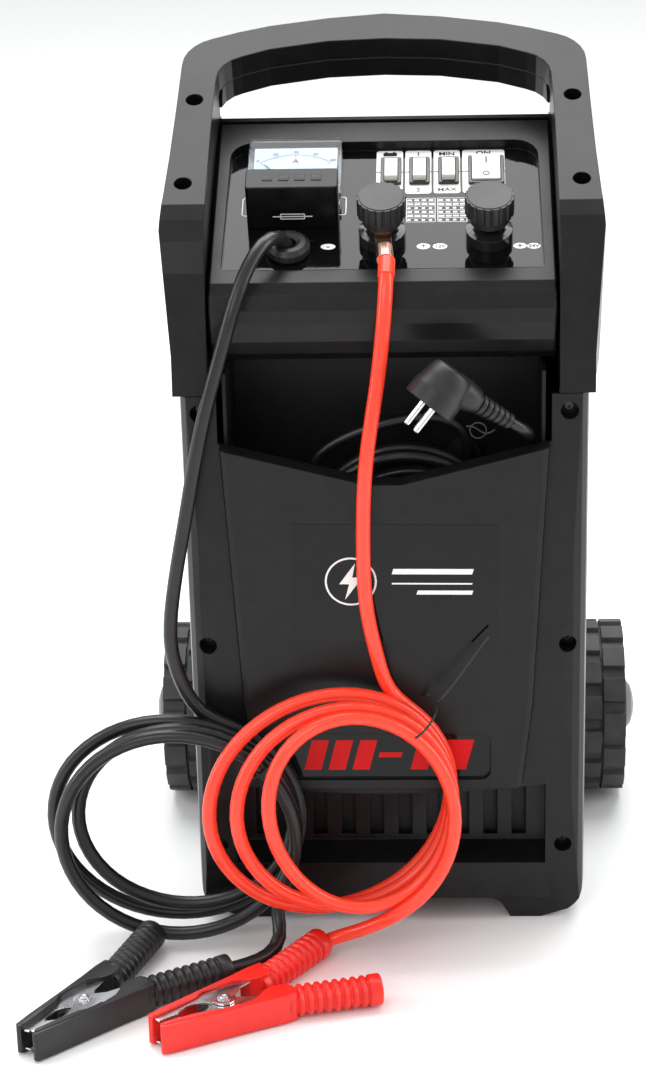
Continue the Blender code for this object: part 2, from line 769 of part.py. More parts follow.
def terminal(name, x, panel):
    """A post on a round insulator, a washer that travels, and the ribbed knob that screws down on it."""
    post = turned("terminal_post_" + name, [
        (0, 0.0300), (0.0035, 0.0300), (0.0035, 0.0110), (0.0120, 0.0100), (TERMINAL_RADIUS, 0.0085),
        (TERMINAL_RADIUS, GAP), (0.0050, GAP), (0.0050, -0.0150), (0, -0.0150)], 20)
    washer = turned("terminal_washer_" + name, [
        (0.0039, 0.0152), (0.0095, 0.0152), (0.0095, 0.0134), (0.0039, 0.0134), (0.0039, 0.0152)], 20)
    ribs = 18
    outline = []
    for i in range(ribs):
        middle = 360 * i / ribs
        for share, radius in ((0, 0.0166), (0.5, 0.0166), (0.75, 0.0156)):
            turn = math.radians(middle + share * 360 / ribs)
            outline.append((radius * math.cos(turn), radius * math.sin(turn)))
    knob = plate("terminal_knob_" + name, outline, 0.0225, 0.0360)
    join(knob, turned("skirt", [(0, 0.0365), (0.0150, 0.0365), (0.0155, 0.0355), (0.0155, 0.0220), (0.0132, 0.0205),
                                (0.0132, 0.0156), (0, 0.0156)], 18))
    cut(knob, rod("thread", 0.0039, (0, 0, 0.0), (0, 0, 0.0320), 16))
    for obj in (post, washer, knob):
        place(obj, (x, TERMINAL_ALONG, 0), (0, 0, 0), panel)
    return [
        finish(post, glossy_black()),
        finish(washer, material("brass", (0.7, 0.5, 0.2), 0.3, 1.0)),
        finish(knob, black_plastic()),
    ]


def red_lug():
    """Copper lug on the 12 V post: ring, tapered palm and the barrel that holds the lead."""
    lug = plate("red_lug", arc((0, 0), 0.0095, 0, 360, 20)[:-1], 0.0113, 0.0131)
    join(lug, plate("palm", [(0.0060, -0.0070), (-0.0060, -0.0070), (-0.0052, -0.0300), (0.0052, -0.0300)][::-1], 0.0113, 0.0131))
    join(lug, rod("barrel", 0.0058, (0, -0.0270, 0.0138), (0, -0.0400, 0.0138), 16))
    cut(lug, rod("hole", 0.0039, (0, 0, 0.0), (0, 0, 0.03), 16))
    lug.data.transform(Matrix.Translation((TERMINALS["12v"], TERMINAL_ALONG, 0)) @ Matrix.Rotation(math.radians(4), 4, "Z"))
    return finish(lug, material("copper", (0.8, 0.4, 0.28), 0.3, 1.0))


def lead_grommet():
    grommet = turned("lead_grommet", [
        (0.0056, 0.0078), (0.0085, 0.0095), (0.0120, 0.0092), (GROMMET_RADIUS, 0.0065), (GROMMET_RADIUS, 0.0020),
        (0.0135, GAP), (0.0101, GAP), (0.0101, -0.0090), (0.0056, -0.0090), (0.0056, 0.0078)], 20)
    grommet.data.transform(Matrix.Translation((*GROMMET, 0)))
    return finish(grommet, material("rubber", (0.02, 0.02, 0.02), 0.6))


def console_pieces(panel):
    fixed = [*ammeter(), *fuse_parts(), red_lug(), lead_grommet()]
    for obj in fixed:
        obj.parent = panel
    ammeter_needle(panel)
    for name, x in SMALL_SWITCHES.items():
        switch(name, x, SMALL_SWITCH, panel, -6)
    switch("power", POWER_SWITCH_X, POWER_SWITCH, panel, 6)
    for name, x in TERMINALS.items():
        terminal(name, x, panel)


# ---------------------------------------------------------------- inside and wheels

FAN_CENTRE = (0.0560, 0.2750)
FAN_FRONT = 0.2050
FAN_DEPTH = 0.0220


def transformer():
    """A laminated core with two windows, and the winding round its middle limb."""
    core = rounded(box("transformer_core", (-0.0600, 0.0950, 0.0222), (0.0600, 0.2050, 0.1500)), 0.001, 1, 50)
    for side in (-1, 1):
        ends = sorted((side * 0.0180, side * 0.0400))
        cut(core, box("window", (ends[0], 0.08, 0.0460), (ends[1], 0.23, 0.1260)))
    winding = rounded(box("transformer_winding", (-0.0390, 0.0835, 0.0480), (0.0390, 0.2165, 0.1240)), 0.003, 2, 50)
    cut(winding, box("limb_space", (-0.0185, 0.0945, 0.03), (0.0185, 0.2055, 0.14)))
    return [
        finish(core, material("lamination", (0.25, 0.25, 0.27), 0.5, 0.8)),
        finish(winding, material("enamelled_wire", (0.5, 0.2, 0.08), 0.35, 0.6)),
    ]


def rectifier_heatsink():
    sink = box("rectifier_heatsink", (-0.0550, 0.1150, 0.1503), (0.0550, 0.1950, 0.1560))
    for i in range(8):
        x = -0.0525 + i * 0.0150
        join(sink, box("fin", (x - 0.0010, 0.1150, 0.1550), (x + 0.0010, 0.1950, 0.1850)))
    return [finish(sink, material("aluminium", (0.75, 0.76, 0.78), 0.4, 1.0))]


def fan():
    """A square fan frame on the rear vents, with its motor on three spokes, and the bladed rotor."""
    x, z = FAN_CENTRE
    frame = box("fan_housing", (x - 0.0450, FAN_FRONT, z - 0.0450), (x + 0.0450, FAN_FRONT + FAN_DEPTH, z + 0.0450))
    cut(frame, rod("duct", 0.0425, (x, FAN_FRONT - 0.01, z), (x, FAN_FRONT + FAN_DEPTH + 0.01, z), 32))
    join(frame, rod("motor", 0.0160, (x, FAN_FRONT + 0.0175, z), (x, FAN_FRONT + FAN_DEPTH, z), 20))
    for turn in (0, 120, 240):
        spoke = box("spoke", (0.0100, -0.0010, -0.0020), (0.0440, 0.0010, 0.0020))
        place_at = Matrix.Translation((x, FAN_FRONT + FAN_DEPTH - 0.0030, z))
        spoke.data.transform(place_at @ Matrix.Rotation(math.radians(turn + 45), 4, "Y"))
        join(frame, spoke)
    rotor = rod("fan_rotor", 0.0180, (0, 0.0020, 0), (0, 0.0165, 0), 24)
    for i in range(7):
        blade = box("blade", (0.0150, -0.0055, -0.0008), (0.0405, 0.0055, 0.0008))
        lean = Matrix.Rotation(math.radians(38), 4, "X")
        blade.data.transform(Matrix.Rotation(math.tau * i / 7, 4, "Y") @ Matrix.Translation((0, 0.0095, 0)) @ lean)
        join(rotor, blade)
    rotor.location = (x, FAN_FRONT, z)
    return [finish(frame, black_plastic()), finish(rotor, material("grey_plastic", (0.1, 0.1, 0.11), 0.5))]


def tread_outline(blocks, shift):
    """A circle with tread blocks cut into it."""
    outline = []
    for i in range(blocks):
        for share, radius in ((0.0, 1.0), (0.62, 1.0), (0.68, 0.945), (0.94, 0.945)):
            turn = math.tau * (i + share + shift) / blocks
            outline.append((WHEEL_RADIUS * radius * math.cos(turn), WHEEL_RADIUS * radius * math.sin(turn)))
    return outline


def wheel_shape():
    """A wheel about local Z, its outer face up, with two rows of tread blocks and dished sides."""
    width = WHEEL_OUTER_X - WHEEL_INNER_X
    wheel = plate("wheel", tread_outline(15, 0.0), 0.0, width / 2 - 0.0010)
    join(wheel, plate("outer_row", tread_outline(15, 0.5), width / 2 + 0.0010, width))
    join(wheel, rod("middle", 0.0625, (0, 0, 0.0050), (0, 0, width - 0.0050), 24))
    for low, high in ((width - 0.0110, width + 0.01), (-0.01, 0.0100)):
        dish = rod("dish", 0.0520, (0, 0, low), (0, 0, high), 24)
        cut(dish, rod("hub", 0.0215, (0, 0, low - 0.01), (0, 0, high + 0.01), 18))
        cut(wheel, dish)
    cut(wheel, rod("bore", 0.0053, (0, 0, -0.01), (0, 0, width + 0.01), 16))
    return wheel


def wheels():
    """Both wheels, their hub caps and the axle that they turn on."""
    first = wheel_shape()
    cap = turned("cap", [
        (0, 0.0097), (0.0080, 0.0090), (0.0150, 0.0068), (0.0190, 0.0035), (0.0200, 0.0),
        (0.0075, 0.0), (0.0075, 0.0060), (0, 0.0060)], 22)
    cap.data.transform(Matrix.Translation((0, 0, WHEEL_OUTER_X - WHEEL_INNER_X + GAP)))
    made = []
    for side, turn in (("left", -90), ("right", 90)):
        x = math.copysign(WHEEL_INNER_X, turn)
        for source, name, look in ((first, "wheel_", "wheel_plastic"), (cap, "hub_cap_", "cap_plastic")):
            piece = as_object(name + side, source.data.copy())
            place(piece, (x, *AXLE), (0, math.radians(turn), 0))
            made.append(finish(piece, material(look, (0.03, 0.03, 0.03), 0.55)))
    for source in (first, cap):
        bpy.data.objects.remove(source, do_unlink=True)
    axle = rod("axle", 0.0050, (-0.1820, *AXLE), (0.1820, *AXLE), 20)
    made.append(finish(axle, steel()))
    return made


# ---------------------------------------------------------------- mains lead

PLUG_FACE = (0.0300, -0.0240, 0.4050)
PLUG_AXIS = (-0.620, -0.250, -0.745)
PLUG_EXIT = (0.780, 0.250, -0.570)
MAINS_COIL = (0.0150, 0.0340, 0.2840)
MAINS_COIL_RADII = (0.0480, 0.0755)
MAINS_COIL_WIDTH = 0.0300


def cable_gland():
    """The strain relief where the mains lead comes through the pocket's back wall."""
    gland = turned("cable_gland", [
        (0.0042, 0.0260), (0.0060, 0.0260), (0.0085, 0.0120), (0.0085, 0.0050), (0.0125, 0.0050), (0.0125, GAP),
        (0.0082, GAP), (0.0082, -0.0080), (0.0042, -0.0080), (0.0042, 0.0260)], 16)
    turn = Matrix.Rotation(math.radians(90), 4, "X")
    gland.data.transform(Matrix.Translation((GLAND_X, 0.0895, GLAND_Z)) @ turn)
    return finish(gland, material("rubber", (0.02, 0.02, 0.02), 0.6))


def mains_plug():
    """An angled plug: round face with two pins, the lead leaving it sideways through a segmented relief."""
    face, axis, leave = Vector(PLUG_FACE), Vector(PLUG_AXIS).normalized(), Vector(PLUG_EXIT).normalized()
    across = axis.cross(leave).normalized()
    back = face - axis * 0.030
    plug = rod("mains_plug", 0.0185, face - axis * 0.0120, face, 24)
    join(plug, rod("shoulder", 0.0140, back, face - axis * 0.0110, 24, 0.0180))
    join(plug, rod("neck", 0.0110, back + axis * 0.0120, back + axis * 0.0120 + leave * 0.0250, 20, 0.0090))
    start = back + axis * 0.0120 + leave * 0.0240
    for i in range(4):
        ring = start + leave * (0.0015 + i * 0.0078)
        join(plug, rod("segment", 0.0078 - 0.0005 * i, ring, ring + leave * 0.0050, 12))
    join(plug, rod("relief", 0.0058, start - leave * 0.002, start + leave * 0.0320, 12))
    for side in (-1, 1):
        pin = face + across * (0.0095 * side)
        join(plug, rod("pin", 0.0024, pin - axis * 0.004, pin + axis * 0.0190, 10))
    return finish(plug, glossy_black()), start + leave * (0.0320 + 2 * GAP)


def ring(name, centre, inner, outer, width, squeeze=(1, 1)):
    """A turned ring about the Y axis, the outer shape of a wound lead."""
    half = width / 2
    rim = 0.3 * half
    made = turned(name, [
        (inner, 0.6 * half), (inner + rim, half), (outer - rim, half), (outer, 0.6 * half), (outer, -0.6 * half),
        (outer - rim, -half), (inner + rim, -half), (inner, -0.6 * half), (inner, 0.6 * half)], 30)
    made.data.transform(Matrix.Diagonal((squeeze[0], squeeze[1], 1, 1)))
    made.data.transform(Matrix.Rotation(math.radians(90), 4, "X"))
    made.location = centre
    return made


def mains_lead():
    plug, lead_end = mains_plug()
    coil = ring("mains_coil", MAINS_COIL, *MAINS_COIL_RADII, MAINS_COIL_WIDTH)
    cord = tube("mains_cord", mains_route(lead_end), MAINS_DIAMETER, 1, 1.6)
    look = material("mains_cable", (0.02, 0.02, 0.02), 0.5)
    return [plug, finish(coil, look), finish(cord, look), cable_gland()]


def mains_route(lead_end):
    """From the plug's relief over the pocket's rim and down onto the coil."""
    leave = Vector(PLUG_EXIT).normalized()
    return [
        lead_end,
        lead_end + leave * 0.005,
        lead_end + leave * 0.011,
        (0.0972, 0.0010, 0.3772),
        (0.0990, 0.0090, 0.3735),
        (0.1000, 0.0170, 0.3655),
        (0.0995, 0.0240, 0.3530),
        (0.0965, 0.0290, 0.3420),
        (0.0915, 0.0330, 0.3345),
    ]


# ---------------------------------------------------------------- charging leads

RED_COIL = (-0.0350, -0.0410, 0.1180)
RED_COIL_TURN = (math.radians(-8.0), 0, math.radians(10.5))
RED_COIL_STRETCH = (1.10, 1.0)
BLACK_COIL = (-0.1510, -0.0195, 0.0912)
BLACK_COIL_STRETCH = (1.035, 1.0)
LEAD_COIL_RADII = (0.0500, 0.0865)
BLACK_COIL_RADII = (0.0520, 0.0908)
LEAD_COIL_WIDTH = 0.0220


def red_route():
    """From the lug over the console's nose and down the front panel to the top of the coil."""
    return [
        (0.0033, 0.0145, 0.4898),
        (0.0031, 0.0075, 0.4855),
        (0.0028, 0.0015, 0.4780),
        (0.0022, -0.0015, 0.4680),
        (0.0006, -0.0030, 0.4500),
        (-0.0020, -0.0050, 0.4280),
        (-0.0053, -0.0080, 0.4040),
        (-0.0090, -0.0115, 0.3840),
        (-0.0118, -0.0138, 0.3650),
        (-0.0138, -0.0145, 0.3420),
        (-0.0148, -0.0148, 0.3180),
        (-0.0151, -0.0151, 0.2900),
        (-0.0145, -0.0155, 0.2610),
        (-0.0115, -0.0170, 0.2400),
        (-0.0075, -0.0195, 0.2230),
        (-0.0040, -0.0225, 0.2110),
    ]


def black_route():
    """Out of the grommet, over its edge, and down the left rail to the top of the coil."""
    return [
        (-0.0636, *panel_point(0.0206, -0.0085)),
        (-0.0636, *panel_point(0.0206, 0.0040)),
        (-0.0636, *panel_point(0.0206, 0.0110)),
        (-0.0642, *panel_point(0.0202, 0.0160)),
        (-0.0675, *panel_point(0.0175, 0.0210)),
        (-0.0730, *panel_point(0.0125, 0.0235)),
        (-0.0795, *panel_point(0.0040, 0.0235)),
        (-0.0850, *panel_point(-0.0060, 0.0200)),
        (-0.0900, 0.0115, 0.4910),
        (-0.0945, 0.0010, 0.4790),
        (-0.0985, -0.0030, 0.4650),
        (-0.1050, -0.0050, 0.4450),
        (-0.1115, -0.0065, 0.4230),
        (-0.1180, -0.0080, 0.4020),
        (-0.1235, -0.0090, 0.3800),
        (-0.1300, -0.0095, 0.3500),
        (-0.1357, -0.0095, 0.3200),
        (-0.1420, -0.0095, 0.2900),
        (-0.1472, -0.0095, 0.2610),
        (-0.1508, -0.0105, 0.2350),
        (-0.1500, -0.0130, 0.2120),
        (-0.1465, -0.0165, 0.1960),
        (-0.1430, -0.0190, 0.1885),
    ]


def red_tail_route():
    """From the underside of the red coil to its clamp."""
    return [
        (-0.0150, -0.0500, 0.0235),
        (-0.0240, -0.0440, 0.0195),
        (-0.0330, -0.0385, 0.0155),
        (-0.0400, -0.0395, 0.0130),
        (-0.0447, -0.0420, 0.0122),
    ]


def black_tail_route():
    """From the face of the black coil along the floor to its clamp."""
    return [
        (-0.0760, -0.0360, 0.0290),
        (-0.0745, -0.0450, 0.0190),
        (-0.0780, -0.0570, 0.0120),
        (-0.0860, -0.0680, 0.0110),
        (-0.0955, -0.0755, 0.0115),
        (-0.1060, -0.0812, 0.0120),
    ]


def charging_leads():
    red = material("red_cable", (0.85, 0.06, 0.02), 0.35)
    black = material("black_cable", (0.02, 0.02, 0.02), 0.45)
    red_coil = ring("red_coil", RED_COIL, *LEAD_COIL_RADII, LEAD_COIL_WIDTH, RED_COIL_STRETCH)
    red_coil.rotation_euler = RED_COIL_TURN
    black_coil = ring("black_coil", BLACK_COIL, *BLACK_COIL_RADII, LEAD_COIL_WIDTH, BLACK_COIL_STRETCH)
    return [
        finish(red_coil, red),
        finish(black_coil, black),
        finish(tube("red_lead", red_route(), LEAD_DIAMETER, 1, 1.4), red),
        finish(tube("black_lead", black_route(), LEAD_DIAMETER, 1, 1.1), black),
        finish(tube("red_tail", red_tail_route(), LEAD_DIAMETER, 1, 0.7), red),
        finish(tube("black_tail", black_tail_route(), LEAD_DIAMETER, 1, 0.8), black),
    ]


# ---------------------------------------------------------------- clamps

CLAMP_HEIGHT = 0.0120
CLAMP_SPREAD = math.radians(20.5)
CLAMPS = {
    "red": ((-0.1114, -0.1371), 34.9, 1),
    "black": ((-0.2066, -0.1373), 50.1, -1),
}


def jaw_outline(side):
    """One arm's steel seen from above: jaw to -X, its lobe round the rivet, a tongue into the grip."""
    upper = [
        (-0.0500, 0.0010),
        (-0.0360, 0.0008),
        (-0.0300, 0.0030),
        (-0.0180, 0.0030),
        (-0.0120, 0.0008),
        (-0.0088, 0.0008),
        (-0.0060, -0.0050),
        (0.0000, -0.0075),
        (0.0060, -0.0050),
        (0.0120, 0.0020),
        (0.0300, 0.0070),
        (0.0300, 0.0140),
        (0.0120, 0.0128),
        (-0.0120, 0.0098),
        (-0.0490, 0.0045),
    ]
    return upper if side > 0 else [(x, -y) for x, y in reversed(upper)]


def clamp_arm(name, side, half_height, look):
    """A steel arm of two plates and a spine, and the moulded grip over it."""
    arm = plate("clamp_jaw_" + name, jaw_outline(side), -half_height, half_height)
    slot = [(-0.06, -0.02), (0.0250, -0.02), (0.0250, 0.0100), (-0.0120, 0.0078), (-0.0430, 0.0032), (-0.06, 0.0016)]
    if side < 0:
        slot = [(x, -y) for x, y in reversed(slot)]
    cut(arm, plate("channel", slot, -half_height + 0.0012, half_height - 0.0012))
    cut(arm, rod("rivet_hole", 0.0028, (0, 0, -0.02), (0, 0, 0.02), 16))
    shell = [
        (-0.0530, 0.0014),
        (-0.0500, 0.0014),
        (-0.0500, 0.0052),
        (-0.0120, 0.0104),
        (0.0120, 0.0134),
        (0.0304, 0.0146),
        (0.0304, 0.0064),
        (0.0420, 0.0095),
        (0.0480, 0.0240),
        (0.0200, 0.0205),
        (-0.0180, 0.0150),
        (-0.0530, 0.0090),
    ]
    grip = plate("clamp_grip_" + name, shell if side > 0 else [(x, -y) for x, y in reversed(shell)], -0.0100, 0.0100)
    ribs, start, pitch = 8, 0.0420, 0.0072
    profile = [(0, start), (0.0086, start)]
    for i in range(ribs):
        low = start + i * pitch
        profile += [(0.0106, low + 0.0028), (0.0088, low + pitch)]
    end = start + ribs * pitch
    profile += [(0.0106, end + 0.0020), (0.0106, end + 0.0070), (0, end + 0.0084)]
    handle = turned("handle", profile[::-1], 12)
    turn = Matrix.Rotation(side * CLAMP_SPREAD, 4, "Z") @ Matrix.Rotation(math.radians(90), 4, "Y")
    handle.data.transform(turn)
    join(grip, handle)
    return [finish(arm, steel()), finish(grip, look)]


def clamp(colour, charger):
    """A battery clamp lying flat, both its arms turning about the rivet at the local origin."""
    pivot, bearing, fixed_side = CLAMPS[colour]
    look = red_plastic() if colour == "red" else black_plastic()
    hinge = empty("clamp_" + colour, (*pivot, CLAMP_HEIGHT), (0, 0, math.radians(bearing)), charger)
    made = clamp_arm(colour + "_fixed", fixed_side, 0.0088, look)
    made += clamp_arm(colour + "_moving", -fixed_side, 0.0073, look)
    rivet = rod("clamp_rivet_" + colour, 0.0025, (0, 0, -0.0105), (0, 0, 0.0105), 16)
    join(rivet, rod("head", 0.0042, (0, 0, 0.0091), (0, 0, 0.0107), 16),
         rod("tail", 0.0042, (0, 0, -0.0107), (0, 0, -0.0091), 16))
    for obj in (*made, finish(rivet, steel())):
        obj.parent = hinge


# ---------------------------------------------------------------- assembly


def main():
    clear_scene()
    charger = empty("charger", (0, FRONT_TO_CENTRE, 0))
    made = [
        handle_front_shell(),
        handle_rear_shell(),
        front_cover(),
        rear_cover(),
        pocket_liner(),
        base_plate(),
        control_console(),
        *transformer(),
        *rectifier_heatsink(),
        *fan(),
        *wheels(),
        *mains_lead(),
        *charging_leads(),
    ]
    for obj in made:
        obj.parent = charger
    panel = empty("panel", (0, *PANEL_ORIGIN), (PANEL_SLOPE, 0, 0), charger)
    console_pieces(panel)
    for colour in CLAMPS:
        clamp(colour, charger)


main()
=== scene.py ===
"""Looks of the trolley battery charger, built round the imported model.

Metres throughout. The front of the charger faces -Y, and +Z is up.
"""

import json
import math

import bmesh
import bpy
from mathutils import Matrix, Vector

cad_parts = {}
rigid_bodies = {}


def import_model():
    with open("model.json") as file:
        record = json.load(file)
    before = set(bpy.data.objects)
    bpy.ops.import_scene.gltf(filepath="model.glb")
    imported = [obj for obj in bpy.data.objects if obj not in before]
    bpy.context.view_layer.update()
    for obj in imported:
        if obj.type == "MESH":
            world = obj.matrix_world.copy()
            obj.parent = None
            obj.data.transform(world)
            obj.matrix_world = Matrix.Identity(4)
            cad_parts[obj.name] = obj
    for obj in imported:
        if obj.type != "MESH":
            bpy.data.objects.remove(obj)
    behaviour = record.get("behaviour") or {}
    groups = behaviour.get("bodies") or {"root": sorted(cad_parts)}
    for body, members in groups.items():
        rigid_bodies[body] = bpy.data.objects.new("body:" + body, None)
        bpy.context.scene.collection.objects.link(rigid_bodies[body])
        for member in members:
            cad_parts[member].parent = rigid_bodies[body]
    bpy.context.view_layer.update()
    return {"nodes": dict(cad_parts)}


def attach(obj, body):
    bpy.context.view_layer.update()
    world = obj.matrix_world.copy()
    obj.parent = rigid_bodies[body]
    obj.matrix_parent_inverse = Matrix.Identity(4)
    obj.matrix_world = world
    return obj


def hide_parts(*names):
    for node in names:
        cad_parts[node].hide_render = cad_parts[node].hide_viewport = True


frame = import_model()
nodes = frame["nodes"]

FRONT_TO_CENTRE = -0.14325
PANEL_SLOPE = math.radians(22.4)
PANEL_ORIGIN = Vector((0, 0.031 + FRONT_TO_CENTRE, 0.482))
PANEL = Matrix.Translation(PANEL_ORIGIN) @ Matrix.Rotation(PANEL_SLOPE, 4, "X")
UPRIGHT = Matrix.Rotation(math.radians(90), 4, "X")
CHASSIS = "chassis"


def world(x, y, z):
    """A point of the housing, y measured back from its front face."""
    return Vector((x, y + FRONT_TO_CENTRE, z))


# ---------------------------------------------------------------- mesh helpers


def as_object(name, mesh, look=None, body=CHASSIS):
    obj = bpy.data.objects.new(name, mesh)
    bpy.context.scene.collection.objects.link(obj)
    if look:
        obj.data.materials.append(look)
    if body:
        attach(obj, body)
    return obj


def from_bmesh(name, bm):
    bmesh.ops.recalc_face_normals(bm, faces=bm.faces)
    mesh = bpy.data.meshes.new(name)
    bm.to_mesh(mesh)
    bm.free()
    return mesh


def smooth(obj, angle=35):
    obj.data.shade_smooth()
    obj.data.set_sharp_from_angle(angle=math.radians(angle))
    return obj


def prism(name, outline, low, high, look, matrix=Matrix.Identity(4), body=CHASSIS, bevel=0.0):
    """A plate with this outline (x, y) between two heights, placed by the matrix."""
    bm = bmesh.new()
    lower = [bm.verts.new((x, y, low)) for x, y in outline]
    upper = [bm.verts.new((x, y, high)) for x, y in outline]
    bm.faces.new(lower[::-1])
    bm.faces.new(upper)
    for i in range(len(outline)):
        j = (i + 1) % len(outline)
        bm.faces.new((lower[i], lower[j], upper[j], upper[i]))
    if bevel:
        bmesh.ops.bevel(bm, geom=list(bm.edges), offset=bevel, segments=2, affect="EDGES", profile=0.6,
                        clamp_overlap=True)
    mesh = from_bmesh(name, bm)
    mesh.transform(matrix)
    return smooth(as_object(name, mesh, look, body), 40)


def lathe(name, profile, steps, look, matrix=Matrix.Identity(4), body=CHASSIS, ripple=None):
    """A turned shape about local Z from an open or closed (radius, height) profile."""
    bm = bmesh.new()
    rings = []
    for r, z in profile:
        ring = []
        for i in range(steps):
            turn = math.tau * i / steps
            rr = r * (ripple(turn, z) if ripple else 1)
            ring.append(bm.verts.new((rr * math.cos(turn), rr * math.sin(turn), z)))
        rings.append(ring)
    for a, b in zip(rings, rings[1:]):
        for i in range(steps):
            j = (i + 1) % steps
            bm.faces.new((a[i], a[j], b[j], b[i]))
    for ring in (rings[0], rings[-1]):
        if (ring[0].co.xy).length > 1e-6:
            bm.faces.new(ring)
    bmesh.ops.remove_doubles(bm, verts=bm.verts, dist=1e-7)
    mesh = from_bmesh(name, bm)
    mesh.transform(matrix)
    return smooth(as_object(name, mesh, look, body), 35)


def catmull(points, per_span=8):
    knots = [Vector(p) for p in points]
    knots = [2 * knots[0] - knots[1], *knots, 2 * knots[-1] - knots[-2]]
    fine = []
    for a, b, c, d in zip(knots, knots[1:], knots[2:], knots[3:]):
        for step in range(per_span):
            t = step / per_span
            fine.append(0.5 * (2 * b + (c - a) * t + (2 * a - 5 * b + 4 * c - d) * t**2
                               + (3 * b - a - 3 * c + d) * t**3))
    fine.append(knots[-2])
    return fine


def length_of(points):
    return sum((q - p).length for p, q in zip(points, points[1:]))


def evenly(points, spacing):
    """Points at an even spacing along this line."""
    length = length_of(points)
    count = max(2, round(length / spacing))
    out, walked, target = [points[0]], 0.0, length / count
    for p, q in zip(points, points[1:]):
        step = (q - p).length
        while step and walked + step >= target - 1e-9 and len(out) < count:
            out.append(p.lerp(q, (target - walked) / step))
            target += length / count
        walked += step
    return [*out, points[-1]]


def relaxed(points, rounds, hold=2):
    """Each point drawn to the middle of its neighbours, the ends held."""
    pts = [p.copy() for p in points]
    for _ in range(rounds):
        drawn = [(pts[i - 1] + 2 * pts[i] + pts[i + 1]) / 4 for i in range(hold, len(pts) - hold)]
        pts = [*pts[:hold], *drawn, *pts[-hold:]]
    return pts


def wire(name, points, diameter, look, body=CHASSIS, resolution=4):
    """A round cord as a curve of one open spline."""
    curve = bpy.data.curves.new(name, "CURVE")
    curve.dimensions = "3D"
    curve.bevel_depth = diameter / 2
    curve.bevel_resolution = resolution
    curve.use_fill_caps = True
    spline = curve.splines.new("POLY")
    spline.points.add(len(points) - 1)
    for point, place in zip(spline.points, points):
        point.co = (*place, 1)
    spline.use_smooth = True
    obj = bpy.data.objects.new(name, curve)
    bpy.context.scene.collection.objects.link(obj)
    curve.materials.append(look)
    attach(obj, body)
    return obj


def arc(centre, radius, start, end, steps):
    """Points on a circle from one bearing to another, in degrees."""
    turns = [math.radians(start + (end - start) * i / steps) for i in range(steps + 1)]
    return [(centre[0] + radius * math.cos(t), centre[1] + radius * math.sin(t)) for t in turns]


def corners(x0, y0, x1, y1, lean=0.0):
    """The four corners of a bar, its upper edge shifted sideways by the lean."""
    return [(x0, y0), (x1, y0), (x1 + lean, y1), (x0 + lean, y1)]


def rounded_rectangle(x0, y0, x1, y1, radius, steps=4):
    r = radius
    return [
        *arc((x1 - r, y0 + r), r, -90, 0, steps),
        *arc((x1 - r, y1 - r), r, 0, 90, steps),
        *arc((x0 + r, y1 - r), r, 90, 180, steps),
        *arc((x0 + r, y0 + r), r, 180, 270, steps),
    ]


CAPITAL_SHARE = 0.7
STROKE_SHARE = 0.030
PRINT_THICK = 0.00008


def lettering(name, text, height, matrix, look, stretch=1.0):
    """Raised print: figures, signs or a short word that any such panel carries."""
    curve = bpy.data.curves.new(name, "FONT")
    curve.body = text
    curve.size = height / CAPITAL_SHARE
    curve.align_x = "CENTER"
    curve.align_y = "CENTER"
    curve.extrude = PRINT_THICK
    curve.resolution_u = 3
    curve.offset = height * STROKE_SHARE
    helper = bpy.data.objects.new(name + "_font", curve)
    bpy.context.scene.collection.objects.link(helper)
    bpy.context.view_layer.update()
    mesh = bpy.data.meshes.new_from_object(helper.evaluated_get(bpy.context.evaluated_depsgraph_get()))
    bpy.data.objects.remove(helper)
    mesh.transform(matrix @ Matrix.Diagonal((stretch, 1, 1, 1)))
    mesh.name = name
    mesh.materials.clear()
    return as_object(name, mesh, look)


def merged(name, objs):
    """Several pieces with one material as one piece."""
    bm = bmesh.new()
    for obj in objs:
        bm.from_mesh(obj.data)
    mesh = bpy.data.meshes.new(name)
    bm.to_mesh(mesh)
    bm.free()
    for m in objs[0].data.materials:
        mesh.materials.append(m)
    body = objs[0].parent
    for obj in objs:
        bpy.data.objects.remove(obj, do_unlink=True)
    made = bpy.data.objects.new(name, mesh)
    bpy.context.scene.collection.objects.link(made)
    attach(made, body.name.split(":", 1)[1])
    return made


# ---------------------------------------------------------------- camera, floor and light

CAMERA_AT = world(0.0410, -1.7330, 1.0010)
CAMERA_TURN = (math.radians(2.77), math.radians(22.0), math.radians(-1.49))
CAMERA_LENS = 91.13


def camera():
    turn, pitch, roll = CAMERA_TURN
    back = Vector((math.sin(turn) * math.cos(pitch), -math.cos(turn) * math.cos(pitch), math.sin(pitch)))
    right = Vector((math.cos(turn), math.sin(turn), 0))
    up = back.cross(right)
    across = right * math.cos(roll) + up * math.sin(roll)
    above = up * math.cos(roll) - right * math.sin(roll)
    data = bpy.data.cameras.new("camera")
    data.lens = CAMERA_LENS
    data.sensor_width = 36
    data.clip_start = 0.05
    made = bpy.data.objects.new("camera", data)
    bpy.context.scene.collection.objects.link(made)
    made.matrix_world = Matrix((
        (across.x, above.x, back.x, CAMERA_AT.x),
        (across.y, above.y, back.y, CAMERA_AT.y),
        (across.z, above.z, back.z, CAMERA_AT.z),
        (0, 0, 0, 1),
    ))
    bpy.context.scene.camera = made


def panel_light(name, at, towards, size, power, colour=(1, 1, 1)):
    data = bpy.data.lights.new(name, "AREA")
    data.shape = "RECTANGLE"
    data.size, data.size_y = size
    data.energy = power
    data.color = colour
    made = bpy.data.objects.new(name, data)
    bpy.context.scene.collection.objects.link(made)
    made.location = at
    made.rotation_euler = (Vector(towards) - Vector(at)).to_track_quat("-Z", "Y").to_euler()


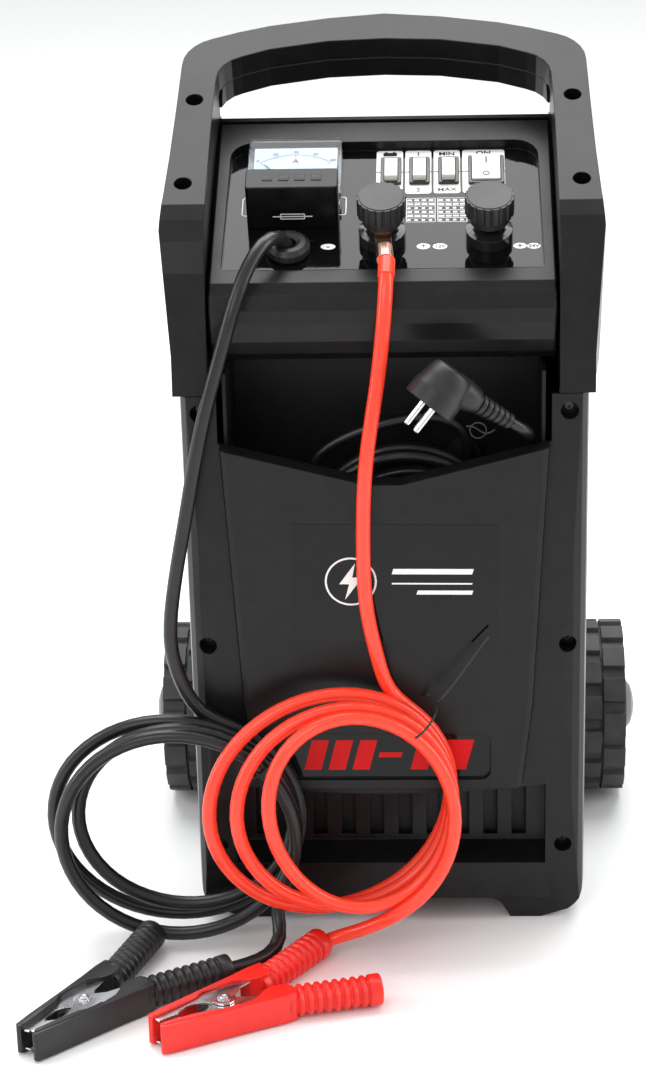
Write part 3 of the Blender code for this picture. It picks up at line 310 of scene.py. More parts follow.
def studio():
    bm = bmesh.new()
    bmesh.ops.create_grid(bm, x_segments=8, y_segments=8, size=6.0)
    floor = as_object("floor", from_bmesh("floor", bm), None, None)
    floor.location.z = -0.0002
    look = bpy.data.materials.new("floor_white")
    look.use_nodes = True
    shader = look.node_tree.nodes["Principled BSDF"]
    shader.inputs["Base Color"].default_value = (0.93, 0.93, 0.925, 1)
    shader.inputs["Roughness"].default_value = 0.45
    floor.data.materials.append(look)
    sky = bpy.data.worlds.new("studio")
    sky.use_nodes = True
    sky.node_tree.nodes["Background"].inputs["Color"].default_value = (0.97, 0.985, 1.0, 1)
    sky.node_tree.nodes["Background"].inputs["Strength"].default_value = 0.80
    bpy.context.scene.world = sky
    bpy.context.scene.view_settings.view_transform = "Standard"
    panel_light("overhead", (0.0, 0.78, 2.5), (0, 0.05, 0.35), (2.8, 1.9), 84)
    panel_light("front_soft", (-0.9, -2.3, 1.7), (0, 0, 0.3), (1.2, 1.2), 14)
    panel_light("right_strip", (2.1, -0.3, 1.1), (0, 0, 0.35), (0.5, 1.8), 18)
    panel_light("left_strip", (-2.1, -0.3, 1.1), (0, 0, 0.35), (0.5, 1.8), 16)


camera()
studio()


# ---------------------------------------------------------------- materials


GLOSS_PATCH = 0.055
COLOUR_PATCH = 0.012
PALER_BY = 0.012
BUMP_SHARE = 0.35


def look_of(name, colour, rough, metallic=0.0, grain=0.0, grain_size=0.0006, mottling=0.0, streak=None,
            smudge=0.04, edge=0.0007, ior=1.46, coat=0.0):
    """A surface with fine grain, uneven gloss and a slight drift of colour."""
    made = bpy.data.materials.new(name)
    made.use_nodes = True
    tree = made.node_tree
    new, link = tree.nodes.new, tree.links.new
    shader = tree.nodes["Principled BSDF"]
    shader.inputs["Metallic"].default_value = metallic
    shader.inputs["IOR"].default_value = ior
    shader.inputs["Coat Weight"].default_value = coat
    shader.inputs["Coat Roughness"].default_value = 0.08
    place = new("ShaderNodeTexCoord")
    stretch = new("ShaderNodeMapping")
    stretch.inputs["Scale"].default_value = streak or (1, 1, 1)
    link(place.outputs["Object"], stretch.inputs["Vector"])

    def noise(size, detail):
        node = new("ShaderNodeTexNoise")
        node.inputs["Scale"].default_value = 1 / size
        node.inputs["Detail"].default_value = detail
        link(stretch.outputs["Vector"], node.inputs["Vector"])
        return node.outputs["Fac"]

    def spanned(value, low, high):
        node = new("ShaderNodeMapRange")
        node.inputs["From Min"].default_value = 0.3
        node.inputs["From Max"].default_value = 0.7
        node.inputs["To Min"].default_value = low
        node.inputs["To Max"].default_value = high
        link(value, node.inputs["Value"])
        return node.outputs["Result"]

    link(spanned(noise(GLOSS_PATCH, 3), rough - smudge, rough + smudge), shader.inputs["Roughness"])
    mix = new("ShaderNodeMix")
    mix.data_type = "RGBA"
    paler = [min(1, c * (1 + mottling) + PALER_BY * mottling) for c in colour]
    mix.inputs["A"].default_value = (*colour, 1)
    mix.inputs["B"].default_value = (*paler, 1)
    link(spanned(noise(COLOUR_PATCH, 4), 0.0, 1.0), mix.inputs["Factor"])
    link(mix.outputs["Result"], shader.inputs["Base Color"])
    normal = None
    if edge:
        soft = new("ShaderNodeBevel")
        soft.samples = 4
        soft.inputs["Radius"].default_value = edge
        normal = soft.outputs["Normal"]
    if grain:
        bump = new("ShaderNodeBump")
        bump.inputs["Strength"].default_value = grain
        bump.inputs["Distance"].default_value = grain_size * BUMP_SHARE
        link(noise(grain_size, 2), bump.inputs["Height"])
        if normal:
            link(normal, bump.inputs["Normal"])
        normal = bump.outputs["Normal"]
    if normal:
        link(normal, shader.inputs["Normal"])
    return made


BODY = look_of("moulded_black", (0.0048, 0.0050, 0.0056), 0.31, grain=0.07, grain_size=0.0009, mottling=0.2,
               ior=1.33, edge=0.0010)
BODY_DARK = look_of("moulded_black_pocket", (0.0045, 0.0047, 0.0052), 0.45, grain=0.12, grain_size=0.0010,
                    mottling=0.2, ior=1.34)
LABEL = look_of("label_black", (0.0025, 0.0025, 0.0028), 0.05, grain=0.015, grain_size=0.006, mottling=0.1,
                smudge=0.02, edge=0, ior=1.33)
GLOSS = look_of("gloss_black", (0.010, 0.010, 0.011), 0.16, grain=0.03, mottling=0.2, edge=0.0004)
FUSE = look_of("fuse_black", (0.0030, 0.0030, 0.0034), 0.24, grain=0.04, mottling=0.2, ior=1.30)
KNOB = look_of("knob_black", (0.007, 0.007, 0.008), 0.40, grain=0.14, grain_size=0.0006, mottling=0.3,
               edge=0.0003)
RUBBER = look_of("rubber_black", (0.008, 0.008, 0.0085), 0.44, grain=0.12, grain_size=0.0007, mottling=0.3,
                 edge=0.0005)
TYRE = look_of("tyre_black", (0.024, 0.024, 0.025), 0.56, grain=0.20, grain_size=0.0011, mottling=0.5,
               edge=0.0008)
CAP = look_of("cap_grey", (0.115, 0.118, 0.122), 0.40, grain=0.08, mottling=0.2)
STEEL = look_of("zinc_steel", (0.60, 0.61, 0.62), 0.22, metallic=1.0, grain=0.05, grain_size=0.0009,
                mottling=0.15, streak=(1, 1, 6), smudge=0.07, edge=0.0003)
COPPER = look_of("copper", (0.80, 0.47, 0.36), 0.24, metallic=1.0, grain=0.05, grain_size=0.0008,
                 mottling=0.2, edge=0.0003)
BRASS = look_of("brass", (0.75, 0.58, 0.28), 0.27, metallic=1.0, grain=0.05, mottling=0.2, edge=0.0003)
CREAM = look_of("rocker_cream", (0.74, 0.71, 0.63), 0.30, grain=0.03, mottling=0.05, edge=0.0005)
WHITE = look_of("print_white", (0.82, 0.82, 0.80), 0.32, grain=0.05, mottling=0.04, edge=0)
INK = look_of("print_black", (0.008, 0.008, 0.008), 0.3, grain=0.03, mottling=0.1, edge=0)
RED_INK = look_of("print_red", (0.62, 0.006, 0.008), 0.42, grain=0.03, mottling=0.06, edge=0, ior=1.25)
GREY_INK = look_of("print_grey", (0.34, 0.35, 0.37), 0.35, grain=0.03, mottling=0.1, edge=0)
DIAL = look_of("dial_paper", (0.60, 0.72, 0.86), 0.5, grain=0.03, mottling=0.06, edge=0)
RED_CABLE = look_of("red_jacket", (0.93, 0.050, 0.020), 0.28, grain=0.05, grain_size=0.0030, mottling=0.10,
                    edge=0, coat=0.15)
BLACK_CABLE = look_of("black_jacket", (0.006, 0.006, 0.0065), 0.32, grain=0.05, grain_size=0.0030,
                      mottling=0.3, edge=0)
RED_GRIP = look_of("red_grip", (0.74, 0.020, 0.013), 0.34, grain=0.10, grain_size=0.0012, mottling=0.14,
                   edge=0.0006)
BLACK_GRIP = look_of("black_grip", (0.009, 0.009, 0.0095), 0.38, grain=0.12, grain_size=0.0012, mottling=0.3,
                     edge=0.0006)
LAMINATION = look_of("laminations", (0.16, 0.16, 0.18), 0.42, metallic=0.8, grain=0.5, grain_size=0.0010,
                     mottling=0.3, streak=(1, 1, 0.05))
WINDING = look_of("winding", (0.42, 0.16, 0.06), 0.32, metallic=0.6, grain=0.5, grain_size=0.0012,
                  mottling=0.2, streak=(0.05, 0.05, 1))
ALUMINIUM = look_of("aluminium", (0.72, 0.73, 0.75), 0.34, metallic=1.0, grain=0.1, mottling=0.1,
                    streak=(1, 0.05, 1))


def clear_plastic():
    made = look_of("clear_cover", (0.93, 0.96, 1.0), 0.05, smudge=0.02, edge=0.0004, mottling=0.02)
    shader = made.node_tree.nodes["Principled BSDF"]
    shader.inputs["Transmission Weight"].default_value = 1.0
    shader.inputs["IOR"].default_value = 1.2
    return made


def paint(look, *names):
    for name in names:
        mesh = nodes[name].data
        mesh.materials.clear()
        mesh.materials.append(look)
        mesh.polygons.foreach_set("material_index", [0] * len(mesh.polygons))


paint(BODY, "handle_front_shell", "handle_rear_shell", "front_cover", "rear_cover", "control_console")
paint(BODY_DARK, "pocket_liner", "fan_housing", "fan_rotor")
paint(GLOSS, *(f"switch_body_{s}" for s in ("charge", "stage", "range", "power")), "terminal_post_12v",
      "terminal_post_24v", "ammeter_case")
paint(CREAM, *(f"rocker_{s}" for s in ("charge", "stage", "range", "power")))
paint(FUSE, "fuse_cover")
paint(BRASS, "fuse_block", "terminal_washer_12v", "terminal_washer_24v")
paint(COPPER, "red_lug")
paint(RUBBER, "lead_grommet", "cable_gland", "mains_plug")
paint(STEEL, "axle", "base_plate", "clamp_rivet_red", "clamp_rivet_black")
paint(KNOB, "terminal_knob_12v", "terminal_knob_24v")
paint(TYRE, "wheel_left", "wheel_right")
paint(CAP, "hub_cap_left", "hub_cap_right")
paint(LAMINATION, "transformer_core")
paint(WINDING, "transformer_winding")
paint(ALUMINIUM, "rectifier_heatsink")
paint(DIAL, "ammeter_dial")
paint(INK, "ammeter_needle")
paint(clear_plastic(), "ammeter_cover")
for colour, grip in (("red", RED_GRIP), ("black", BLACK_GRIP)):
    for arm in ("fixed", "moving"):
        paint(STEEL, f"clamp_jaw_{colour}_{arm}")
        paint(grip, f"clamp_grip_{colour}_{arm}")


# ---------------------------------------------------------------- clamps

# Per clamp: where its pivot stands, its bearing in degrees, the side of its fixed arm, and its grips' look.
CLAMPS = {
    "red": ((-0.1114, -0.1371), 34.9, 1, RED_GRIP),
    "black": ((-0.2066, -0.1373), 50.1, -1, BLACK_GRIP),
}
CLAMP_UP = 0.0120
SPREAD = math.radians(20.5)
FOLDS = 9
FOLD_PITCH = 0.0063
TEETH = 5
TOOTH_PITCH = 0.0028
PLATE_THICK = 0.0012
SPRING_STEPS = 34


def bellows(name, look, matrix, body):
    """A moulded grip of soft folds, slightly flattened, with a plain collar at its end."""
    profile = [(0.0070, 0.0360), (0.0092, 0.0362), (0.0098, 0.0385), (0.0098, 0.0420)]
    start = 0.0430
    for i in range(FOLDS):
        low = start + i * FOLD_PITCH
        profile += [(0.0090, low), (0.0093, low + 0.0007), (0.0107, low + 0.0016), (0.0112, low + 0.0030),
                    (0.0107, low + 0.0044), (0.0093, low + 0.0054)]
    end = start + FOLDS * FOLD_PITCH
    profile += [(0.0096, end), (0.0109, end + 0.0006), (0.0112, end + 0.0020), (0.0112, end + 0.0076),
                (0.0108, end + 0.0088), (0.0098, end + 0.0094), (0.0066, end + 0.0094),
                (0.0062, end + 0.0088), (0.0060, end + 0.0040), (0.0, end + 0.0038)]

    def flattened(turn, z):
        return 1 - 0.035 * abs(math.sin(turn)) ** 3

    return lathe(name, [(0.0, 0.0360), *profile], 28, look, matrix, body, ripple=flattened)


def arm(colour, side, body, half, base, look):
    """One arm: moulded cover over the jaw, grip, and the bright steel with its teeth."""
    kind = "fixed" if side == CLAMPS[colour][2] else "moving"

    def flip(points):
        return points if side > 0 else [(x, -y) for x, y in reversed(points)]

    cover = flip([
        (-0.0532, 0.0062), (-0.0525, 0.0056), (-0.0490, 0.0058), (-0.0300, 0.0086), (-0.0150, 0.0114),
        (-0.0090, 0.0146), (0.0030, 0.0150), (0.0160, 0.0150), (0.0215, 0.0120), (0.0260, 0.0086),
        (0.0330, 0.0070), (0.0400, 0.0082), (0.0440, 0.0100), (0.0460, 0.0170), (0.0430, 0.0246),
        (0.0330, 0.0236), (0.0180, 0.0208), (-0.0020, 0.0178), (-0.0200, 0.0152), (-0.0400, 0.0124),
        (-0.0525, 0.0104), (-0.0542, 0.0085)])
    shell = prism("shell", cover, -0.0106, 0.0106, look, base, body, bevel=0.0014)
    lip = flip([(-0.0515, 0.0068), (-0.0500, 0.0052), (-0.0300, 0.0078), (-0.0150, 0.0106), (-0.0100, 0.0140),
                (0.0030, 0.0144), (0.0030, 0.0160), (-0.0180, 0.0136), (-0.0500, 0.0084)])
    rims = [prism("rim", lip, low, low + 0.0016, look, base, body, bevel=0.0005) for low in (-0.0114, 0.0098)]
    turn = base @ Matrix.Rotation(side * SPREAD, 4, "Z") @ Matrix.Rotation(math.radians(90), 4, "Y")
    grip = bellows("grip", look, turn, body)
    made = merged(f"clamp_cover_{colour}_{kind}", [shell, *rims, grip])
    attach(made, body)
    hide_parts(f"clamp_grip_{colour}_{kind}")

    teeth = []
    for i in range(TEETH):
        x = -0.0500 + i * TOOTH_PITCH
        teeth += [(x, 0.0003), (x + TOOTH_PITCH / 2, 0.0015)]
    plate = flip([
        *teeth, (-0.0360, 0.0004), (-0.0345, 0.0020), (-0.0310, 0.0046), (-0.0265, 0.0058),
        (-0.0215, 0.0058), (-0.0170, 0.0044), (-0.0130, 0.0018), (-0.0110, 0.0004), (-0.0085, 0.0002),
        (-0.0070, -0.0036), (-0.0042, -0.0066), (0.0, -0.0076), (0.0042, -0.0066), (0.0070, -0.0036),
        (0.0090, 0.0006), (0.0160, 0.0060), (0.0290, 0.0096), (0.0290, 0.0140), (0.0150, 0.0156),
        (-0.0060, 0.0150), (-0.0180, 0.0118), (-0.0490, 0.0072), (-0.0510, 0.0040)])
    plates = [prism("plate", plate, low, low + PLATE_THICK, STEEL, base, body, bevel=0.0002)
              for low in (-half, half - PLATE_THICK)]
    spine = flip([(-0.0490, 0.0058), (-0.0120, 0.0120), (0.0260, 0.0128), (0.0260, 0.0140), (-0.0120, 0.0132),
                  (-0.0490, 0.0070)])
    plates.append(prism("spine", spine, -half + 0.0004, half - 0.0004, STEEL, base, body, bevel=0.0003))
    steel = merged(f"clamp_steel_{colour}_{kind}", plates)
    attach(steel, body)
    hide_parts(f"clamp_jaw_{colour}_{kind}")
    return [made, steel]


def clamps():
    made = {}
    for colour, (pivot, bearing, fixed, look) in CLAMPS.items():
        base = Matrix.Translation(world(*pivot, CLAMP_UP)) @ Matrix.Rotation(math.radians(bearing), 4, "Z")
        pieces = arm(colour, fixed, CHASSIS, 0.0092, base, look)
        pieces += arm(colour, -fixed, f"{colour}_clamp_arm", 0.0076, base, look)
        head = [(0.0, 0.0110), (0.0008, 0.0108), (0.0012, 0.0114), (0.0022, 0.0115), (0.0031, 0.0108),
                (0.0033, 0.0099), (0.0046, 0.0098), (0.0047, 0.0093), (0.0026, 0.0092), (0.0026, -0.0092),
                (0.0047, -0.0093), (0.0046, -0.0098), (0.0033, -0.0099), (0.0031, -0.0108),
                (0.0022, -0.0115), (0.0, -0.0116)]
        rivet = lathe(f"clamp_pin_{colour}", head, 20, STEEL, base)
        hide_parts(f"clamp_rivet_{colour}")
        spring = []
        for t in range(SPRING_STEPS + 1):
            across = (0.0020 + 0.0040 * math.cos(t * 0.9), -0.001 + 0.0042 * math.sin(t * 0.9))
            spring.append(base @ Vector((*across, -0.0052 + 0.0104 * t / SPRING_STEPS)))
        coil = wire(f"clamp_spring_{colour}", spring, 0.0014, STEEL, resolution=3)
        made[colour] = [*pieces, rivet, coil]
    return made


clamp_pieces = clamps()


# ---------------------------------------------------------------- charging leads

LEAD = 0.010
RED_CENTRE = world(-0.0350, -0.0440, 0.1175)
RED_PLANE = Matrix.Rotation(math.radians(10.5), 4, "Z") @ Matrix.Rotation(math.radians(-8), 4, "X")
BLACK_CENTRE = world(-0.1510, -0.0200, 0.0912)
BLACK_PLANE = Matrix.Rotation(0, 4, "Z")

RED_ROUTE = [
    (0.0033, 0.0145, 0.4898), (0.0031, 0.0075, 0.4855), (0.0028, 0.0015, 0.4780),
    (0.0022, -0.0015, 0.4680), (0.0006, -0.0030, 0.4500), (-0.0020, -0.0050, 0.4280),
    (-0.0053, -0.0080, 0.4040), (-0.0090, -0.0115, 0.3840), (-0.0118, -0.0138, 0.3650),
    (-0.0138, -0.0145, 0.3420), (-0.0148, -0.0148, 0.3180), (-0.0151, -0.0151, 0.2900),
    (-0.0145, -0.0155, 0.2610), (-0.0115, -0.0165, 0.2400), (-0.0070, -0.0180, 0.2230),
]
BLACK_ROUTE = [
    (-0.0950, 0.0010, 0.4790), (-0.0990, -0.0030, 0.4650), (-0.1050, -0.0050, 0.4450),
    (-0.1115, -0.0065, 0.4230), (-0.1180, -0.0080, 0.4020), (-0.1235, -0.0090, 0.3800),
    (-0.1300, -0.0095, 0.3500), (-0.1357, -0.0095, 0.3200), (-0.1420, -0.0095, 0.2900),
    (-0.1472, -0.0095, 0.2610), (-0.1505, -0.0095, 0.2350), (-0.1490, -0.0095, 0.2130),
]
# The black lead's way out of the console, in the frame of the sloping panel.
GROMMET_ROUTE = [
    (-0.0636, 0.0206, -0.0085), (-0.0636, 0.0206, 0.0040), (-0.0636, 0.0206, 0.0110),
    (-0.0642, 0.0202, 0.0160), (-0.0675, 0.0175, 0.0210), (-0.0730, 0.0125, 0.0235),
    (-0.0795, 0.0040, 0.0235), (-0.0850, -0.0060, 0.0200), (-0.0903, -0.0160, 0.0120),
]
RED_TAIL = [
    (-0.0240, -0.0500, 0.0215), (-0.0330, -0.0440, 0.0165), (-0.0400, -0.0415, 0.0135),
    (-0.0447, -0.0420, 0.0122),
]
RED_TAIL += [(-0.0560 - 0.00568 * k, -0.0567 - 0.00823 * k, 0.0120) for k in range(5)]
BLACK_TAIL = [
    (-0.0745, -0.0450, 0.0200), (-0.0775, -0.0570, 0.0130), (-0.0860, -0.0680, 0.0112),
    (-0.0955, -0.0755, 0.0115), (-0.1060, -0.0812, 0.0120),
]
BLACK_TAIL += [(-0.1200 - 0.0087 * k, -0.0881 - 0.00494 * k, 0.0120) for k in range(5)]


def eased(stops, at):
    """A value read from a smooth line through these (place, value) stops."""
    for (a, va), (b, vb) in zip(stops, stops[1:]):
        if at <= b:
            t = max(0.0, (at - a) / (b - a))
            t = t * t * (3 - 2 * t)
            return va + (vb - va) * t
    return stops[-1][1]


STEPS_PER_LOOP = 40


def loops(centre, plane, start, turns, shape, depth):
    """Clockwise turns in a leaning plane.

    The shape gives (across, up, half width, half height, tilt) for a turn, the depth how far back it lies.
    """
    points = []
    steps = round(turns * STEPS_PER_LOOP)
    for i in range(steps + 1):
        turned = turns * i / steps
        angle = math.radians(start) - math.tau * turned
        cu, cw, a, b, tilt = (eased([(k, s[j]) for k, s in shape], turned) for j in range(5))
        tilt = math.radians(tilt)
        u, w = a * math.cos(angle - tilt), b * math.sin(angle - tilt)
        across = u * math.cos(tilt) - w * math.sin(tilt)
        up = u * math.sin(tilt) + w * math.cos(tilt)
        points.append(centre + plane @ Vector((cu + across, eased(depth, turned), cw + up)))
    return points


def lead(name, before, coil, after, look, gone):
    """The whole lead on one line: the run down the front, the loops, and the end in its clamp."""
    rough = [*before, *coil, *after]
    path = relaxed(evenly(catmull(rough, 6), 0.008), 6)
    path = evenly(path, 0.009)
    piece = wire(name, path, LEAD, look, resolution=5)
    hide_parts(*gone)
    return path


RED_TURNS = 3.36
BLACK_TURNS = 3.34
RED_SHAPE = [
    (0.0, (-0.0015, 0.0020, 0.0860, 0.0790, 18)),
    (0.7, (-0.0035, 0.0010, 0.0880, 0.0790, 20)),
    (1.3, (0.0050, 0.0020, 0.0770, 0.0760, 24)),
    (2.0, (0.0040, -0.0010, 0.0780, 0.0740, 30)),
    (2.6, (0.0130, 0.0000, 0.0630, 0.0730, 20)),
    (3.5, (0.0080, -0.0060, 0.0730, 0.0760, 10)),
]
BLACK_SHAPE = [
    (0.0, (0.0040, 0.0020, 0.0860, 0.0780, -8)),
    (0.7, (-0.0020, 0.0000, 0.0880, 0.0800, -6)),
    (1.3, (0.0060, 0.0060, 0.0790, 0.0700, -14)),
    (2.0, (0.0080, 0.0040, 0.0780, 0.0740, -18)),
    (2.6, (0.0030, -0.0020, 0.0850, 0.0820, -10)),
    (3.5, (0.0060, -0.0020, 0.0800, 0.0780, -4)),
]

red_coil = loops(RED_CENTRE, RED_PLANE, 62, RED_TURNS, RED_SHAPE, [(0.0, 0.0150), (RED_TURNS, -0.0190)])
black_coil = loops(BLACK_CENTRE, BLACK_PLANE, 80, BLACK_TURNS, BLACK_SHAPE,
                   [(0.0, 0.0150), (BLACK_TURNS, -0.0160)])
red_before = [world(*p) for p in RED_ROUTE]
red_path = lead("red_lead_wire", red_before, red_coil, [world(*p) for p in RED_TAIL], RED_CABLE,
                ("red_lead", "red_coil", "red_tail"))
black_before = [PANEL @ Vector(p) for p in GROMMET_ROUTE] + [world(*p) for p in BLACK_ROUTE]
lead("black_lead_wire", black_before, black_coil, [world(*p) for p in BLACK_TAIL], BLACK_CABLE,
     ("black_lead", "black_coil", "black_tail"))


# ---------------------------------------------------------------- mains lead

MAINS = 0.008
MAINS_CENTRE = world(0.0150, 0.0340, 0.2840)
MAINS_TURNS = 3.55
MAINS_STEPS_PER_TURN = 24
MAINS_RADIUS = 0.0700
MAINS_DIP = 0.0160
PLUG_LEAVE = Vector((0.780, 0.250, -0.570)).normalized()
PLUG_AXIS = Vector((-0.620, -0.250, -0.745)).normalized()
PLUG_FACE = world(0.0300, -0.0240, 0.4050)
PLUG_NECK = PLUG_FACE - PLUG_AXIS * 0.018 + PLUG_LEAVE * 0.0240
PLUG_END = PLUG_NECK + PLUG_LEAVE * 0.0326


def mains_lead():
    """The thin lead in the pocket, from its gland through the bundle to the plug."""
    gland = world(0.0540, 0.0640, 0.3300)
    out = [gland, gland - Vector((0, 0.008, 0)), world(0.0560, 0.0505, 0.3380), world(0.0590, 0.0480, 0.3520),
           world(0.0540, 0.0470, 0.3660), world(0.0400, 0.0470, 0.3730), world(0.0180, 0.0470, 0.3720),
           world(-0.0080, 0.0460, 0.3660), world(-0.0340, 0.0450, 0.3560), world(-0.0560, 0.0440, 0.3380)]
    coil = []
    for i in range(round(MAINS_TURNS * MAINS_STEPS_PER_TURN) + 1):
        turned = i / MAINS_STEPS_PER_TURN
        angle = math.radians(150) + math.tau * turned
        layer = min(turned / MAINS_TURNS, 1.0)
        near_an_end = turned < 0.4 or turned > MAINS_TURNS - 0.5
        dip = 0.0 if near_an_end else MAINS_DIP * (0.5 + 0.5 * math.cos(math.tau * turned * 0.5))
        radius = MAINS_RADIUS - dip
        place = Vector((radius * math.cos(angle), 0.0120 - 0.0270 * layer, radius * math.sin(angle)))
        coil.append(MAINS_CENTRE + place)
    inward = [world(0.0965, 0.0290, 0.3420), world(0.1000, 0.0170, 0.3655), world(0.0990, 0.0090, 0.3735),
              world(0.0972, 0.0010, 0.3772), PLUG_END + PLUG_LEAVE * 0.011, PLUG_END + PLUG_LEAVE * 0.005,
              PLUG_END]
    path = relaxed(evenly(catmull([*out, *coil, *inward], 6), 0.006), 8, hold=3)
    path = evenly(path, 0.0075)
    piece = wire("mains_lead_wire", path, MAINS, BLACK_CABLE, resolution=4)
    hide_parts("mains_cord", "mains_coil")


# ---------------------------------------------------------------- control panel print

SWITCH_ALONG = 0.1078
# Per switch: where its opening stands across the panel, and the opening's width and height.
SWITCHES = {
    "charge": (0.0050, 0.0144, 0.0298),
    "stage": (0.0248, 0.0144, 0.0298),
    "range": (0.0450, 0.0144, 0.0298),
    "power": (0.0712, 0.0250, 0.0316),
}
TILES = [(-0.0052, 0.0133), (0.0149, 0.0331), (0.0347, 0.0531), (0.0547, 0.0843)]
# From and to which height above the panel each layer lies.
LABEL_LAYER = (0.00004, 0.00020)
WHITE_LAYER = (0.00021, 0.00027)
RULE_LAYER = (0.00021, 0.00026)
LINE_LAYER = (0.000275, 0.000295)
SYMBOL_LAYER = (0.000275, 0.00031)
LETTERS_UP = 0.00034


def on_panel(x, along, out=0.0):
    return PANEL @ Matrix.Translation((x, along, out))


def pierce(obj, cutters):
    """Cuts these boxes, given by two corners in the panel's frame, out of a piece."""
    bm = bmesh.new()
    for low, high in cutters:
        made = bmesh.ops.create_cube(bm, size=1)["verts"]
        for v in made:
            v.co = Vector(((low[i] + high[i]) / 2 + v.co[i] * (high[i] - low[i])) for i in range(3))
    tool = as_object("tool", from_bmesh("tool", bm), None, None)
    tool.data.transform(PANEL)
    cutter = obj.modifiers.new("cut", "BOOLEAN")
    cutter.object = tool
    cutter.operation = "DIFFERENCE"
    cutter.solver = "EXACT"
    bpy.context.view_layer.update()
    mesh = bpy.data.meshes.new_from_object(obj.evaluated_get(bpy.context.evaluated_depsgraph_get()))
    obj.modifiers.clear()
    obj.data = mesh
    bpy.data.objects.remove(tool, do_unlink=True)


WELL_RIM = 0.0016
WELL_REACH = 0.02
WELLS = [((x - w / 2 + WELL_RIM, SWITCH_ALONG - h / 2 + WELL_RIM, -WELL_REACH),
          (x + w / 2 - WELL_RIM, SWITCH_ALONG + h / 2 - WELL_RIM, WELL_REACH))
         for x, w, h in SWITCHES.values()]


def panel_label():
    """The console's glossy label and the white tiles, open where the switches stand."""
    outline = [(-0.1072, 0.0012), (0.1072, 0.0012), *arc((0.0922, 0.1168), 0.015, 0, 90, 8),
               *arc((-0.0922, 0.1168), 0.015, 90, 180, 8)]
    pierce(prism("panel_label", outline, *LABEL_LAYER, LABEL, PANEL), WELLS)
    tiles = [prism("tile", rounded_rectangle(x0, 0.0832, x1, 0.1326, 0.0022), *WHITE_LAYER, WHITE, PANEL)
             for x0, x1 in TILES]
    switch_tiles = merged("switch_tiles", tiles)
    pierce(switch_tiles, WELLS)
    lines = [prism("line", corners(x0 - 0.0008, 0.1073, x1 + 0.0008, 0.1084), *LINE_LAYER, INK, PANEL)
             for x0, x1 in TILES]
    switch_lines = merged("switch_lines", lines)
    pierce(switch_lines, WELLS)


OVAL_TALL = 0.0031
OVAL_POINTS = 28
# Per oval: piece, place across and along the panel, text, and half width.
OVALS = [
    ("oval_minus", -0.0369, 0.0255, "-", 0.0050),
    ("oval_plus_low", 0.0276, 0.0247, "+", 0.0046),
    ("oval_low", 0.0388, 0.0245, "12V", 0.0050),
    ("oval_plus_high", 0.0926, 0.0240, "+", 0.0046),
    ("oval_high", 0.1020, 0.0237, "24V", 0.0046),
]
# Per word: piece, text, letter height, place across and along the panel, and stretch.
WORDS = [
    ("figure_one", "1", 0.0040, 0.0240, 0.1282, 1.0),
    ("figure_two", "2", 0.0040, 0.0240, 0.0871, 1.0),
    ("word_min", "MIN", 0.0038, 0.0439, 0.1282, 1.15),
    ("word_max", "MAX", 0.0038, 0.0439, 0.0871, 1.15),
    ("word_on", "ON", 0.0040, 0.0695, 0.1287, 1.15),
]


def oval(name, x, along, text, wide):
    """A white oval with a sign or a voltage on it."""
    bearings = [math.tau * i / OVAL_POINTS for i in range(OVAL_POINTS)]
    spot = [(x + wide * math.cos(t), along + OVAL_TALL * math.sin(t)) for t in bearings]
    prism(name, spot, *WHITE_LAYER, WHITE, PANEL)
    height = 0.0032 if len(text) > 1 else 0.0046
    lettering(name + "_sign", text, height, on_panel(x, along, LETTERS_UP), INK)


def panel_print():
    for name, text, height, x, along, stretch in WORDS:
        lettering(name, text, height, on_panel(x, along, LETTERS_UP), INK, stretch=stretch)
    battery = [rounded_rectangle(-0.0005, 0.1262, 0.0090, 0.1302, 0.0005, 2),
               corners(0.0008, 0.1300, 0.0024, 0.1312), corners(0.0061, 0.1300, 0.0077, 0.1312)]
    merged("battery_symbol", [prism("outline", outline, *SYMBOL_LAYER, INK, PANEL) for outline in battery])
    for row in OVALS:
        oval(*row)


TABLE_BLOCKS = ((0.0158, 0.0358), (0.0372, 0.0574))
TABLE_LOW = 0.0512
TABLE_TOP = 0.0779
TABLE_ROWS = 6
ROW_PITCH = 0.0044
RULE = 0.00035


def data_table():
    """Two ruled blocks, with short marks in place of the words such a table holds."""
    outlines = []
    for x0, x1 in TABLE_BLOCKS:
        for k in range(TABLE_ROWS + 1):
            t = TABLE_LOW + k * ROW_PITCH
            outlines.append(corners(x0, t, x1, t + RULE))
            for j in range(4 if k < TABLE_ROWS else 0):
                a = x0 + 0.0008 + j * 0.0049
                b = a + 0.0022 + 0.0017 * ((k * 5 + j * 3) % 3) / 2
                outlines.append(corners(a, t + 0.0015, b, t + 0.0031))
        for x in (x0, x1 - RULE):
            outlines.append(corners(x, TABLE_LOW, x + RULE, TABLE_TOP))
    merged("data_table", [prism("outline", outline, *RULE_LAYER, WHITE, PANEL) for outline in outlines])


def loop_band(name, outer, inner, low=WHITE_LAYER[0], high=WHITE_LAYER[1], look=WHITE, matrix=PANEL):
    """A flat closed line between two outlines with as many points."""
    bm = bmesh.new()
    edges = ((outer, low), (outer, high), (inner, high), (inner, low))
    rings = [[bm.verts.new((x, y, z)) for x, y in outline] for outline, z in edges]
    for k in range(4):
        a, b = rings[k], rings[(k + 1) % 4]
        for i in range(len(outer)):
            j = (i + 1) % len(outer)
            bm.faces.new((a[i], a[j], b[j], b[i]))
    mesh = from_bmesh(name, bm)
    mesh.transform(matrix)
    return as_object(name, mesh, look)


